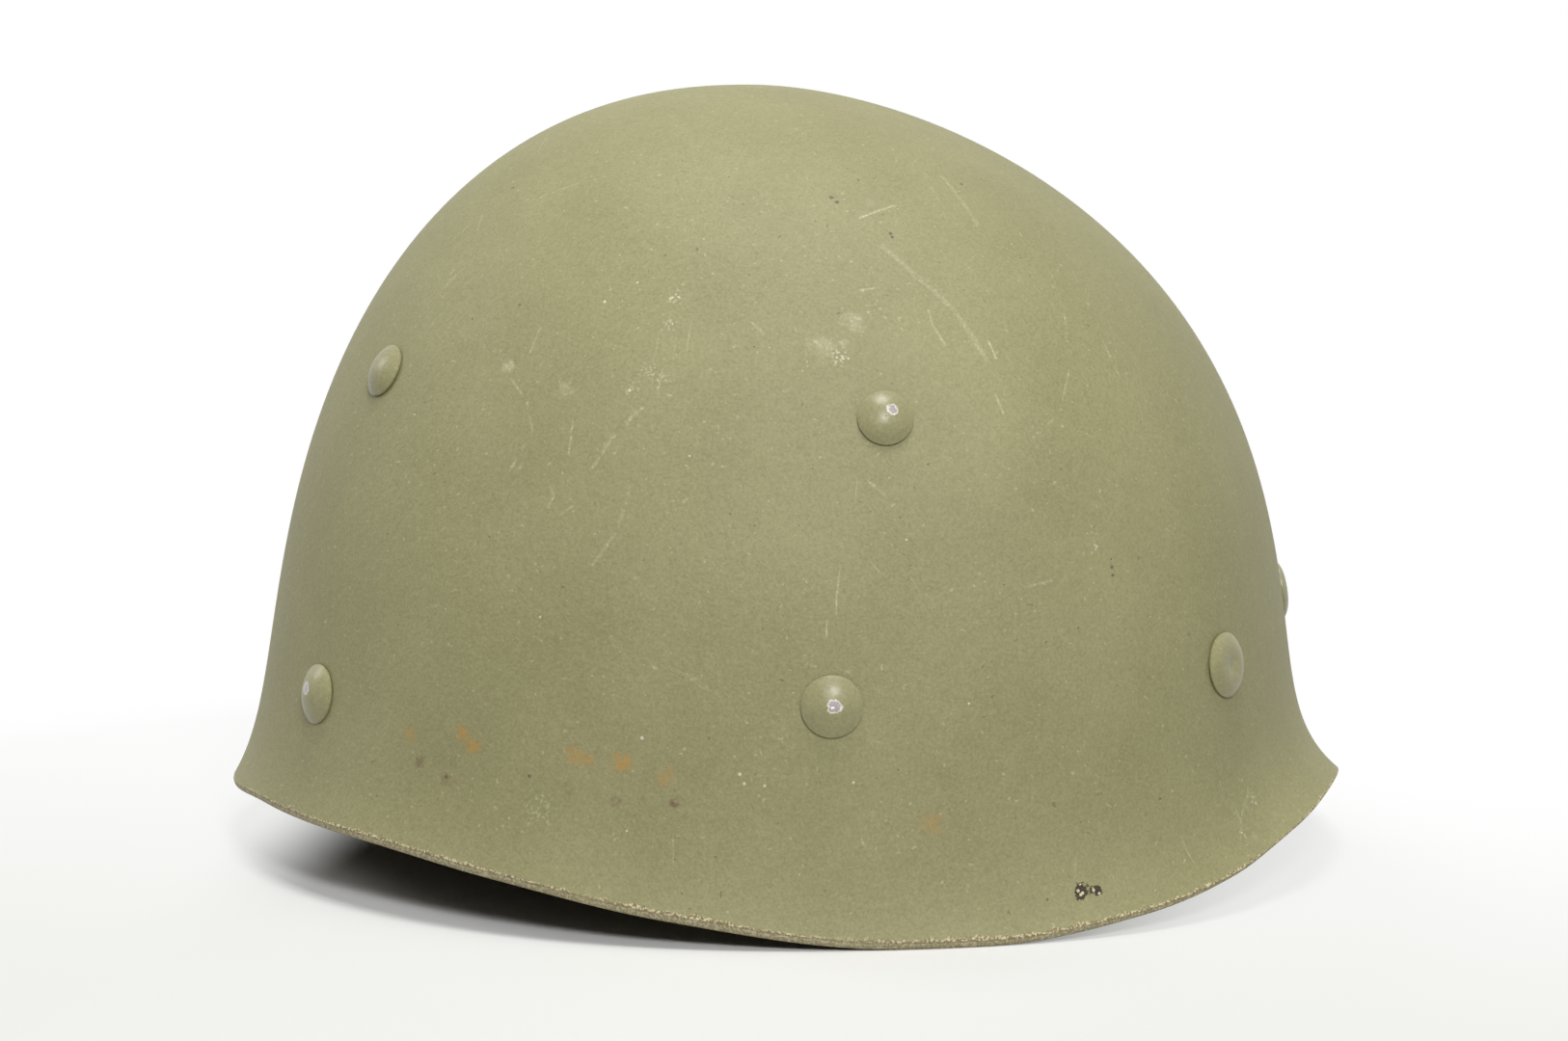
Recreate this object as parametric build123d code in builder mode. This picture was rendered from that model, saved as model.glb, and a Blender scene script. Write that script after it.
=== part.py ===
from build123d import *
from math import atan2, cos, degrees, exp, hypot, radians, sin, sqrt, tan
import os

# Rigid liner of a steel pot helmet, with its riveted web suspension.
# Millimetres. +X points to the visor, +Y to the wearer's left, +Z up.
# The origin is under the middle of the shell, at the height of its lowest rim.

# Shell
crown_height = 175.0
visor_half_length = 125.5
rear_half_length = 113.5
half_width = 109.0
wall = 2.6
visor_flare = 12.3
visor_flare_height = 9.3
rear_flare = 9.2
rear_flare_height = 15.0
side_flare = 5.3
side_flare_height = 13.6
rim_rise = 18.0
cut_overrun = 4.0
cutter_reach = 15.0

# How full each profile of the dome is: power and root of a rounded curve.
# The visor half is also fuller at its corners, seen from above, by a share of its size.
visor_fullness = (3.12, 1.70)
rear_fullness = (2.51, 2.24)
side_fullness = (2.47, 2.03)
flare_fade = 3
corner_share = 0.056

# How finely the dome's surfaces follow those profiles
section_points = 24
flare_steps = 7
dome_steps = 9
last_turn = 86.0
rim_steps = 14

# How far apart the dome is sampled to find its slope: degrees, and a share of its height
probe_turn = 0.5
probe_rise_share = 0.005

# The rim seen from the side: places from the rear tip (-1) to the visor tip (+1)
rim_place_shares = (-1.0, -0.8, -0.55, -0.25, 0.06, 0.43, 0.555, 0.78, 0.9, 1.0)
rim_rise_shares = (0.625, 0.895, 0.865, 0.657, 0.322, 0.0, 0.0, 0.218, 0.481, 0.989)

# Rivets
shank_radius = 2.0
shank_clearance = 0.1
rivet_edge = 0.35
rivet_seat = 0.2
rivet_tail_radius = 3.6
rivet_tail = 1.4
front_head_radius = 7.2
front_head_height = 1.9
front_head_dimple = 0.5
front_dimple_share = 0.45
upper_head_radius = 6.1
upper_head_height = 2.5
low_head_radius = 6.7
low_head_height = 2.6
stud_neck = 2.6
stud_button_radius = 4.4
stud_button = 1.4

# Where the rivets are: angle round the dome from the visor, and height.
# The left front rivet sits a little nearer the middle and higher than the right one.
front_rivet_angle = 22.0
front_rivet_z = 52.7
left_front_turn = -1.4
left_front_rise = 2.5
side_rivet_angle = 62.9
side_rivet_z = 111.5
rear_rivet_angle = 138.5
rear_rivet_z = 114.8
chin_stud_angle = 70.4
chin_stud_z = 52.0
nape_rivet_angle = 136.6
nape_rivet_z = 43.5

# Webbing
web_width = 15.0
web = 1.0
web_gap = 1.8
web_hole_clearance = 0.4
seam_gap = 0.3
layer_gap = 0.5
tab_below = 15.5
tab_above = 12.0
tab_lap = 3.0
bend_run = 2.5
bend_run_share = 0.33
crown_clearance = 33.0
crown_centre_shift = 4.0
front_bend_shares = ((0.86, 0.47), (0.58, 0.80), (0.28, 1.0))
upper_bend_shares = ((0.64, 0.72), (0.28, 1.0))

# Support ring, the level band that carries the sweatband
ring_width = 14.0
ring_z = 54.0
ring_front_gap = 2.0
ring_rear_gap = 8.0
ring_side_gap = 6.8
ring_side_angles = (60, 75, 90, 105, 120)

# Washers
plate = 1.2
plate_height = 20.0
plate_drop = 2.0
plate_low_width = 21.0
plate_top_width = 15.0
plate_corner = 2.0
plate_slot_width = 11.0
plate_slot_height = 2.4
front_plate_lean = 5.8
nape_plate_below = 6.0
nape_plate_above = 14.0
nape_tab_below = 7.0
nape_tab_above = 8.0
stud_washer_radius = 7.0
stud_washer_gap = 0.5

# Sweatband
band_gap = 3.6
backing = 1.2
backing_low = 14.0
backing_width = 28.0
leather = 1.6
leather_margin = 2.0
leather_gap = 0.1
leather_opening = 15.0

# Size buckle, on the backing between the ends of the leather
buckle_half_width = 9.0
buckle_bar = 2.2
buckle_wire = 1.2
buckle_gap = 0.3
buckle_rail = 2.0

# Clips that hold the sweatband to the support ring
clip_half_width = 6.0
clip_sheet = 0.8
clip_gap = 0.15
clip_ring_gap = 0.65
clip_foot = 16.0
clip_pin_radius = 0.7
clip_pin_gap = 0.05
clip_knuckle = 0.7
clip_side_gap = 0.3
clip_pin_n = 1.75
clip_floor_drop = 3.5
clip_back_top = 5.0
clip_lip = 0.9
clip_angles = (44.0, 100.0, 157.0)

# Nape strap
nape_gap = 4.0
nape_low = 18.0
nape_width = 16.0
nape_overhang = 1.0
nape_buckle_share = 0.47
nape_buckle_half_width = 7.0


def rim_height(x):
    """Height of the rim at a place along the shell, x counted from the dome's centre line."""
    places = [share * (front_reach if share > 0 else rear_reach) for share in rim_place_shares]
    heights = [share * rim_rise for share in rim_rise_shares]
    steps = [(heights[i + 1] - heights[i]) / (places[i + 1] - places[i]) for i in range(len(places) - 1)]
    slopes = [steps[0]]
    for before, after in zip(steps, steps[1:]):
        slopes.append(0 if before * after <= 0 else 2 * before * after / (before + after))
    slopes.append(steps[-1])
    if x <= places[0]:
        return heights[0]
    if x >= places[-1]:
        return heights[-1]
    i = max(k for k in range(len(places) - 1) if places[k] <= x)
    width = places[i + 1] - places[i]
    t = (x - places[i]) / width
    return (
        heights[i] * (1 + 2 * t) * (1 - t) ** 2
        + heights[i + 1] * t**2 * (3 - 2 * t)
        + slopes[i] * width * t * (1 - t) ** 2
        - slopes[i + 1] * width * t**2 * (1 - t)
    )


def rounded(share, fullness):
    """How wide the dome still is at a share of its height."""
    power, root = fullness
    return (1 - min(max(share, 0), 1) ** power) ** (1 / root)


def towards(angle, visor, rear, side):
    """A value that is its own at the visor, at the rear and at the sides."""
    facing = cos(radians(angle))
    return side + (visor - side) * max(facing, 0) ** flare_fade + (rear - side) * max(-facing, 0) ** flare_fade


front_reach = visor_half_length * rounded(rim_rise * rim_rise_shares[-1] / crown_height, visor_fullness)
front_reach += visor_flare
rear_reach = rear_half_length * rounded(rim_rise * rim_rise_shares[0] / crown_height, rear_fullness)
rear_reach += rear_flare
dome_x = (rear_reach - front_reach) / 2


def skin(angle, z, inset=0):
    """Point of the dome at an angle from the visor and a height; inset moves it into the wall."""
    facing = cos(radians(angle))
    across = sin(radians(angle))
    share = z / (crown_height - inset)
    half_length = visor_half_length if facing > 0 else rear_half_length
    along = (half_length - inset) * rounded(share, visor_fullness if facing > 0 else rear_fullness)
    sideways = (half_width - inset) * rounded(share, side_fullness)
    reach = towards(angle, visor_flare, rear_flare, side_flare)
    fade = towards(angle, visor_flare_height, rear_flare_height, side_flare_height)
    above_rim = z - rim_height((half_length + reach) * facing)
    if above_rim < 0:
        above_rim = -cut_overrun * (1 - exp(above_rim / cut_overrun))
    flare = reach * exp(-above_rim / fade)
    flare -= inset * (sqrt(1 + (flare / fade) ** 2) - 1)
    corner = 1 + corner_share * sin(radians(2 * angle)) ** 2 * max(facing, 0) ** 2
    return Vector(dome_x + (along + flare) * facing * corner, (sideways + flare) * across * corner, z)


def skin_frame(angle, z):
    """Plane that touches the outside of the shell, with its z axis pointing outwards."""
    rise = crown_height * probe_rise_share
    level = skin(angle + probe_turn, z) - skin(angle - probe_turn, z)
    upward = skin(angle, z + rise) - skin(angle, z - rise)
    return Plane(origin=skin(angle, z), x_dir=level, z_dir=level.cross(upward))


def dome_sections(inset, lowest):
    """Level outlines of the dome, close together where the rim flares."""
    flare_top = 2 * rim_rise
    levels = [lowest + (flare_top - lowest) * i / flare_steps for i in range(flare_steps)]
    first_turn = degrees(atan2(flare_top, sqrt((crown_height - inset) ** 2 - flare_top**2)))
    for i in range(dome_steps):
        turn = first_turn + (last_turn - first_turn) * i / (dome_steps - 1)
        levels.append((crown_height - inset) * sin(radians(turn)))
    sections = []
    for z in levels:
        points = [skin(360 * i / section_points, z, inset) for i in range(section_points)]
        around = Edge.make_spline(points, periodic=True, parameters=list(range(section_points + 1)))
        with BuildSketch(Plane.XY.offset(z)) as section:
            with BuildLine():
                add(around)
            make_face()
        sections.append(section.sketch)
    return [*sections, Vertex(dome_x, 0, crown_height - inset)]


def save(piece, name):
    """Name a finished piece and write its file."""
    piece.part.label = name
    export_step(piece.part, f"parts/{name}.step")


def side_name(side):
    return "left" if side > 0 else "right"


os.makedirs("parts", exist_ok=True)

# Every rivet: name, angle, height, head, and how far its tail lies inside the shell
plate_gap = web_gap + web + seam_gap
front_gap = ring_front_gap + web + front_plate_lean
heads = {
    "front": (front_head_radius, front_head_height, front_head_dimple),
    "upper": (upper_head_radius, upper_head_height, 0),
    "low": (low_head_radius, low_head_height, 0),
}
suspension = {}
nape = {}
studs = {}
for side in (1, -1):
    end = side_name(side)
    turn, rise = (left_front_turn, left_front_rise) if side > 0 else (0, 0)
    suspension[f"front_{end}"] = (side * (front_rivet_angle + turn), front_rivet_z + rise, "front", front_gap)
    suspension[f"side_{end}"] = (side * side_rivet_angle, side_rivet_z, "upper", plate_gap)
    suspension[f"rear_{end}"] = (side * rear_rivet_angle, rear_rivet_z, "upper", plate_gap)
    nape[f"nape_{end}"] = (side * nape_rivet_angle, nape_rivet_z, "low", plate_gap)
    studs[end] = (side * chin_stud_angle, chin_stud_z)
nape["nape_centre"] = (180.0, nape_rivet_z, "low", plate_gap)
riveted = {**suspension, **nape}

# Shell: two lofted domes one in the other, trimmed along the rim
visor_tip = dome_x + front_reach + cutter_reach
rear_tip = dome_x - rear_reach - cutter_reach
flat_rear = dome_x + front_reach * rim_place_shares[rim_rise_shares.index(0)]
flat_front = dome_x + front_reach * rim_place_shares[rim_rise_shares.index(0) + 1]


def rim_line(start, end):
    """Points along the rim between two places."""
    places = [start + (end - start) * i / rim_steps for i in range(rim_steps + 1)]
    return [(x, rim_height(x - dome_x)) for x in places]


with BuildPart() as shell:
    loft(sections=dome_sections(0, -cut_overrun))
    loft(sections=dome_sections(wall, -2 * cut_overrun), mode=Mode.SUBTRACT)
    with BuildSketch(Plane.XZ):
        with BuildLine():
            Spline(rim_line(rear_tip, flat_rear))
            Line((flat_rear, 0), (flat_front, 0))
            Spline(rim_line(flat_front, visor_tip))
            Polyline(
                (visor_tip, rim_height(visor_tip - dome_x)),
                (visor_tip, -cutter_reach),
                (rear_tip, -cutter_reach),
                (rear_tip, rim_height(rear_tip - dome_x)),
            )
        make_face()
    extrude(amount=2 * half_width, both=True, mode=Mode.SUBTRACT)
    bored = [skin_frame(angle, z) for angle, z, _, _ in riveted.values()]
    bored += [skin_frame(angle, z) for angle, z in studs.values()]
    with Locations(*bored):
        Cylinder(shank_radius + shank_clearance, 2 * cutter_reach, mode=Mode.SUBTRACT)
save(shell, "shell")


def dome_arc(radius, edge, height):
    """Middle point of the round profile of a head."""
    drop = height - edge
    bend = (radius**2 + drop**2) / (2 * drop)
    half_turn = atan2(radius, bend - drop) / 2
    return (bend * sin(half_turn), height - bend + bend * cos(half_turn))


def rivet(angle, z, head, grip, tail_radius, tail):
    """Turned rivet: a domed head outside, a shank through the wall, a tail inside."""
    radius, height, dimple = heads[head]
    frame = skin_frame(angle, z).offset(rivet_seat)
    with BuildPart() as turned:
        with BuildSketch(Plane(origin=frame.origin, x_dir=frame.x_dir, z_dir=-frame.y_dir)):
            with BuildLine():
                Line((0, -grip - tail), (0, height - dimple))
                if dimple > 0:
                    ring = front_dimple_share * radius
                    top = height
                    Spline((0, height - dimple), (ring / 2, height - dimple / 2), (ring, top), tangents=((1, 0), (1, 0)))
                    middle = dome_arc(radius - ring, rivet_edge, height)
                    ThreePointArc((ring, top), (ring + middle[0], middle[1]), (radius, rivet_edge))
                else:
                    ThreePointArc((0, height), dome_arc(radius, rivet_edge, height), (radius, rivet_edge))
                Polyline(
                    (radius, rivet_edge),
                    (radius, 0),
                    (shank_radius, 0),
                    (shank_radius, -grip),
                    (tail_radius, -grip),
                    (tail_radius, -grip - tail),
                    (0, -grip - tail),
                )
            make_face()
        revolve(axis=Axis(frame.origin, frame.z_dir))
    return turned


for name, (angle, z, head, gap) in riveted.items():
    grip = rivet_seat + wall + gap + plate + shank_clearance
    save(rivet(angle, z, head, grip, rivet_tail_radius, rivet_tail), f"rivet_{name}")
for end, (angle, z) in studs.items():
    grip = rivet_seat + wall + stud_washer_gap + plate + stud_neck
    save(rivet(angle, z, "low", grip, stud_button_radius, stud_button), f"chin_stud_{end}")


def upright(origin, azimuth):
    """Upright plane through a point: its x runs level along the azimuth, its y runs up."""
    return Plane(
        origin=(origin[0], origin[1], 0),
        x_dir=(cos(azimuth), sin(azimuth), 0),
        z_dir=(sin(azimuth), -cos(azimuth), 0),
    )


# The support ring follows the inside of the shell at its own height
ring_front = skin(0, ring_z, wall).X - ring_front_gap
ring_rear = skin(180, ring_z, wall).X + ring_rear_gap
ring_x = (ring_front + ring_rear) / 2
ring_half_length = (ring_front - ring_rear) / 2


def ring_side(angle):
    """Half width with which the ring keeps its side gap at an angle round the shell."""
    inside = skin(angle, ring_z, wall)
    return (inside.Y - ring_side_gap) / sqrt(1 - ((inside.X - ring_x) / ring_half_length) ** 2)


ring_half_width = min(ring_side(angle) for angle in ring_side_angles)
ring_low = ring_z - ring_width / 2
ring_top = ring_z + ring_width / 2


def ring_distance(origin, azimuth):
    """Distance from a point inside the ring to the ring's outer face, and the slant it meets it at."""
    ux, uy = cos(azimuth) / ring_half_length, sin(azimuth) / ring_half_width
    px, py = (origin[0] - ring_x) / ring_half_length, origin[1] / ring_half_width
    a, b, c = ux**2 + uy**2, ux * px + uy * py, px**2 + py**2 - 1
    reach = (-b + sqrt(b**2 - a * c)) / a
    normal = atan2((py + reach * uy) / ring_half_width, (px + reach * ux) / ring_half_length)
    return reach, abs(normal - azimuth)


def arm_frame(origin, angle, z):
    """The way a web arm runs, how far out its rivet is, and the slope and slant of the shell there."""
    frame = skin_frame(angle, z)
    azimuth = atan2(frame.origin.Y - origin[1], frame.origin.X - origin[0])
    reach = hypot(frame.origin.X - origin[0], frame.origin.Y - origin[1])
    outward = frame.z_dir.X * cos(azimuth) + frame.z_dir.Y * sin(azimuth)
    slope = atan2(frame.z_dir.Z, outward)
    slant = abs(atan2(frame.z_dir.Y, frame.z_dir.X) - azimuth)
    return azimuth, reach, slope, slant


def tab_point(reach, z, slope, up, slant=0):
    """Point on the middle of a tab in the arm's plane; a slant brings it in by the web's turned edge."""
    depth = wall + web_gap + web / 2 + web_width / 2 * sin(slant)
    return (reach - depth * cos(slope) - up * sin(slope), z - depth * sin(slope) + up * cos(slope))


def web_tab(angle, z, below, above):
    """Flat end of a web that lies along the inside of the shell at a rivet."""
    with BuildPart() as tab:
        with Locations(skin_frame(angle, z)):
            with Locations((0, (above - below) / 2, -wall - web_gap - web / 2)):
                Box(web_width, below + above, web)
    return tab.part


def corner_radii(points):
    """Bend radii that keep each bend near its corner."""
    radii = []
    for before, corner, after in zip(points, points[1:], points[2:]):
        run_in = Vector(*corner) - Vector(*before)
        run_out = Vector(*after) - Vector(*corner)
        turn = radians(run_in.get_angle(run_out))
        radii.append(min(bend_run, min(run_in.length, run_out.length) * bend_run_share) / tan(turn / 2))
    return radii


def web_arm(plane, points):
    """Flat web that follows points in an upright plane."""
    with BuildPart() as arm:
        with BuildSketch(plane):
            with BuildLine():
                FilletPolyline(points, radius=corner_radii(points))
            trace(line_width=web)
        extrude(amount=web_width / 2, both=True)
    return arm.part


# Crown straps: each is two arms that meet at the crown, one strap over the next
crown_centre = (dome_x + crown_centre_shift, 0)
crown_straps = {
    "crown_strap_transverse": (("side_left", "side_right"), 0),
    "crown_strap_diagonal_a": (("front_left", "rear_right"), 1),
    "crown_strap_diagonal_b": (("front_right", "rear_left"), 2),
}
for name, (ends, layer) in crown_straps.items():
    top_z = crown_height - wall - crown_clearance + layer * (web + layer_gap)
    arms = []
    for end in ends:
        angle, z, _, _ = suspension[end]
        azimuth, reach, slope, slant = arm_frame(crown_centre, angle, z)
        plane = upright(crown_centre, azimuth)
        start = tab_point(reach, z, slope, tab_above - tab_lap)
        top = tab_point(reach, z, slope, tab_above, slant)
        points = [start, top]
        bends = front_bend_shares if end.startswith("front") else upper_bend_shares
        for out_share, up_share in bends:
            points.append((top[0] * out_share, top[1] + (top_z - top[1]) * up_share))
        points.append((0, top_z))
        arms += [web_tab(angle, z, tab_below, tab_above), web_arm(plane, points)]
        if not end.startswith("front"):
            ring_reach, ring_slant = ring_distance(crown_centre, azimuth)
            lap = ring_reach + seam_gap + web / 2 + web_width / 2 * sin(ring_slant)
            low = tab_point(reach, z, slope, -tab_below, slant)
            last = tab_point(reach, z, slope, tab_lap - tab_below)
            points = [(lap, ring_low), (lap, ring_top + bend_run + seam_gap), low, last]
            arms.append(web_arm(plane, points))
    with BuildPart() as strap:
        add(arms)
        with BuildSketch(Plane.XY.offset(top_z - web / 2)):
            with Locations(crown_centre):
                Circle(web_width / 2)
        extrude(amount=web)
        for end in ends:
            angle, z, _, _ = suspension[end]
            with Locations(skin_frame(angle, z)):
                Cylinder(shank_radius + web_hole_clearance, 2 * cutter_reach, mode=Mode.SUBTRACT)
    save(strap, name)

# Support ring
with BuildPart() as ring:
    with BuildSketch(Plane.XY.offset(ring_low)):
        with Locations((ring_x, 0)):
            Ellipse(ring_half_length, ring_half_width)
            Ellipse(ring_half_length - web, ring_half_width - web, mode=Mode.SUBTRACT)
    extrude(amount=ring_width)
    for end in ("front_left", "front_right"):
        angle, z, _, _ = suspension[end]
        with Locations(skin_frame(angle, z)):
            Cylinder(shank_radius + web_hole_clearance, 2 * cutter_reach, mode=Mode.SUBTRACT)
save(ring, "support_web_ring")


# Washers
def washer_plate(angle, z, gap, outline):
    """Stamped washer that lies along the shell, at a gap from its inside."""
    frame = skin_frame(angle, z)
    inside = frame.offset(-wall - gap - plate)
    with BuildPart() as stamped:
        with BuildSketch(inside):
            add(outline)
        extrude(amount=plate)
        with Locations(frame):
            Cylinder(shank_radius + shank_clearance, 2 * cutter_reach, mode=Mode.SUBTRACT)
    return stamped


# Outlines of the washers, with y running up the shell from the rivet
with BuildSketch() as suspension_plate:
    plate_top = plate_height / 2 - plate_drop
    plate_low = -plate_height / 2 - plate_drop
    with BuildLine():
        Polyline(
            (-plate_low_width / 2, plate_low),
            (plate_low_width / 2, plate_low),
            (plate_top_width / 2, plate_top),
            (-plate_top_width / 2, plate_top),
            close=True,
        )
    make_face()
    fillet(suspension_plate.vertices(), plate_corner)
    with Locations((0, plate_low + 2 * plate_slot_height)):
        Rectangle(plate_slot_width, plate_slot_height, mode=Mode.SUBTRACT)

with BuildSketch() as nape_plate:
    with BuildLine():
        Polyline(
            (-plate_low_width / 2, -nape_plate_below),
            (plate_low_width / 2, -nape_plate_below),
            (0, nape_plate_above),
            close=True,
        )
    make_face()
    fillet(nape_plate.vertices(), plate_corner)

with BuildSketch() as stud_plate:
    Circle(stud_washer_radius)

for name, (angle, z, _, gap) in suspension.items():
    save(washer_plate(angle, z, gap, suspension_plate.sketch), f"washer_{name}")

# Nape strap: a band round the back of the neck, on a circle that fits the inside of the shell
nape_z = nape_low + nape_width / 2
shell_rear = dome_x - skin(180, nape_z, wall).X
shell_side = skin(90, nape_z, wall).Y
nape_circle = shell_side**2 / shell_rear
nape_centre = (dome_x - shell_rear + nape_circle, 0)
nape_radius = nape_circle - nape_gap
side_web = degrees(arm_frame(nape_centre, *nape["nape_left"][:2])[0])
nape_half_turn = 180 - side_web + degrees((web_width / 2 + nape_overhang) / nape_radius)

for name, (angle, z, _, gap) in nape.items():
    save(washer_plate(angle, z, gap, nape_plate.sketch), f"washer_{name}")
for end, (angle, z) in studs.items():
    save(washer_plate(angle, z, stud_washer_gap, stud_plate.sketch), f"stud_washer_{end}")


def arc_band(centre, inner, outer, low, height, middle, half_turn):
    """Piece of an upright band round a centre, angles in degrees."""
    far = 2 * outer
    ends = [
        (centre[0] + far * cos(radians(middle + turn)), centre[1] + far * sin(radians(middle + turn)))
        for turn in (-half_turn, half_turn)
    ]
    with BuildPart() as band:
        with BuildSketch(Plane.XY.offset(low)):
            with Locations(centre):
                Circle(outer)
                Circle(inner, mode=Mode.SUBTRACT)
            with BuildLine():
                Polyline(centre, *ends, close=True)
            make_face(mode=Mode.INTERSECT)
        extrude(amount=height)
    return band.part


with BuildPart() as nape_band:
    add(arc_band(nape_centre, nape_radius - web, nape_radius, nape_low, nape_width, 180, nape_half_turn))
save(nape_band, "nape_band")

for name, (angle, z, _, _) in nape.items():
    azimuth, reach, slope, _ = arm_frame(nape_centre, angle, z)
    low = tab_point(reach, z, slope, -nape_tab_below)
    last = tab_point(reach, z, slope, tab_lap - nape_tab_below)
    lap = nape_radius + seam_gap + web / 2
    arm = web_arm(upright(nape_centre, azimuth), [(lap, nape_low), (lap, nape_low + nape_width), low, last])
    tab = web_tab(angle, z, nape_tab_below, nape_tab_above)
    with BuildPart() as nape_web:
        add([tab, arm])
        with Locations(skin_frame(angle, z)):
            Cylinder(shank_radius + web_hole_clearance, 2 * cutter_reach, mode=Mode.SUBTRACT)
    save(nape_web, f"web_{name}")


def slide_buckle(centre, radius, thickness, low, height, middle, half_width):
    """Frame that rides on a band: two side bars outside it, a middle bar inside it, two rails."""
    outer = radius + buckle_gap
    inner = radius - thickness - buckle_gap
    half_turn = degrees(half_width / radius)
    bar_turn = degrees(buckle_bar / radius)
    rail_low = low - buckle_gap - buckle_rail
    rail_top = low + height + buckle_gap
    full_height = rail_top + buckle_rail - rail_low
    pieces = []
    for rail_z in (rail_low, rail_top):
        pieces.append(
            arc_band(centre, inner - buckle_wire, outer + buckle_wire, rail_z, buckle_rail, middle, half_turn)
        )
    for end in (-1, 1):
        bar_middle = middle + end * (half_turn - bar_turn / 2)
        pieces.append(
            arc_band(centre, outer, outer + buckle_wire, rail_low, full_height, bar_middle, bar_turn / 2)
        )
    pieces.append(arc_band(centre, inner - buckle_wire, inner, rail_low, full_height, middle, bar_turn / 2))
    with BuildPart() as buckle:
        add(pieces)
    return buckle


for side in (1, -1):
    middle = 180 - side * nape_half_turn * nape_buckle_share
    buckle = slide_buckle(nape_centre, nape_radius, web, nape_low, nape_width, middle, nape_buckle_half_width)
    save(buckle, f"nape_buckle_{side_name(side)}")

# Sweatband: a cloth backing all round, and a leather face open at the back
backing_half_length = ring_half_length - web - band_gap
backing_half_width = ring_half_width - web - band_gap
leather_half_length = backing_half_length - backing - leather_gap
leather_half_width = backing_half_width - backing - leather_gap
leather_low = backing_low - leather_margin
leather_height = backing_width + 2 * leather_margin

with BuildPart() as sweatband_backing:
    with BuildSketch(Plane.XY.offset(backing_low)):
        with Locations((ring_x, 0)):
            Ellipse(backing_half_length, backing_half_width)
            Ellipse(backing_half_length - backing, backing_half_width - backing, mode=Mode.SUBTRACT)
    extrude(amount=backing_width)
save(sweatband_backing, "sweatband_backing")

# The back of the band is close to a circle, which the buckle follows
band_circle = backing_half_width**2 / backing_half_length
band_centre = (ring_x - backing_half_length + band_circle, 0)

with BuildPart() as sweatband_leather:
    with BuildSketch(Plane.XY.offset(leather_low)):
        with Locations((ring_x, 0)):
            Ellipse(leather_half_length, leather_half_width)
            Ellipse(leather_half_length - leather, leather_half_width - leather, mode=Mode.SUBTRACT)
        with BuildLine():
            far = 2 * ring_half_length
            open_y = far * tan(radians(leather_opening))
            Polyline(band_centre, (band_centre[0] - far, open_y), (band_centre[0] - far, -open_y), close=True)
        make_face(mode=Mode.SUBTRACT)
    extrude(amount=leather_height)
save(sweatband_leather, "sweatband_leather")

size_buckle = slide_buckle(band_centre, band_circle, backing, backing_low, backing_width, 180, buckle_half_width)
save(size_buckle, "size_buckle")


# Clips: a folded base riveted to the backing, a hinged jaw and its pin
def clip_plane(angle):
    """Upright plane square to the sweatband's outer face at an angle round its oval."""
    x = ring_x + backing_half_length * cos(radians(angle))
    y = backing_half_width * sin(radians(angle))
    azimuth = atan2(sin(radians(angle)) / backing_half_width, cos(radians(angle)) / backing_half_length)
    return upright((x, y), azimuth)


def sheet(low_x, low_y, high_x, high_y):
    """Cross-section of a stretch of sheet between two corners."""
    with BuildSketch() as cut:
        with Locations(((low_x + high_x) / 2, (low_y + high_y) / 2)):
            Rectangle(high_x - low_x, high_y - low_y)
    return cut.sketch


pin_z = ring_low - clip_gap
floor_low = ring_low - clip_floor_drop
jaw_x = band_gap - clip_ring_gap - clip_sheet
back_x = band_gap + web + clip_ring_gap
back_top = ring_top - clip_back_top
jaw_top = ring_top + clip_lip
pin_hole = clip_pin_radius + clip_pin_gap
knuckle_radius = pin_hole + clip_knuckle
jaw_half_width = clip_half_width - clip_sheet - clip_side_gap
foot_cut = sheet(clip_gap, floor_low - clip_foot, clip_gap + clip_sheet, floor_low + clip_sheet)
floor_cut = sheet(clip_gap, floor_low, back_x + clip_sheet, floor_low + clip_sheet)
back_cut = sheet(back_x, floor_low, back_x + clip_sheet, back_top)
ear_cut = sheet(clip_gap, floor_low, clip_pin_n + knuckle_radius, pin_z + knuckle_radius)
jaw_cut = sheet(jaw_x, pin_z, jaw_x + clip_sheet, jaw_top)
lip_cut = sheet(jaw_x - clip_lip, jaw_top - clip_sheet, jaw_x + clip_sheet, jaw_top)
clips = [(f"{k + 1}_{side_name(side)}", side * angle) for k, angle in enumerate(clip_angles) for side in (1, -1)]
for name, angle in clips:
    plane = clip_plane(angle)
    with BuildPart() as clip_base:
        with BuildSketch(plane):
            add(foot_cut)
            add(floor_cut)
            add(back_cut)
        extrude(amount=clip_half_width, both=True)
        for end in (-1, 1):
            ear = plane.offset(end * (clip_half_width - clip_sheet / 2))
            with BuildSketch(ear):
                add(ear_cut)
                with Locations((clip_pin_n, pin_z)):
                    Circle(pin_hole, mode=Mode.SUBTRACT)
            extrude(amount=clip_sheet / 2, both=True)
    save(clip_base, f"clip_base_{name}")

    with BuildPart() as clip_jaw:
        with BuildSketch(plane):
            with Locations((clip_pin_n, pin_z)):
                Circle(knuckle_radius)
            add(jaw_cut)
            add(lip_cut)
            with Locations((clip_pin_n, pin_z)):
                Circle(pin_hole, mode=Mode.SUBTRACT)
        extrude(amount=jaw_half_width, both=True)
    save(clip_jaw, f"clip_jaw_{name}")

with BuildPart() as clip_pins:
    for name, angle in clips:
        with BuildSketch(clip_plane(angle)):
            with Locations((clip_pin_n, pin_z)):
                Circle(clip_pin_radius)
        extrude(amount=clip_half_width, both=True)
save(clip_pins, "clip_pins")
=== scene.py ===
import math

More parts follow.
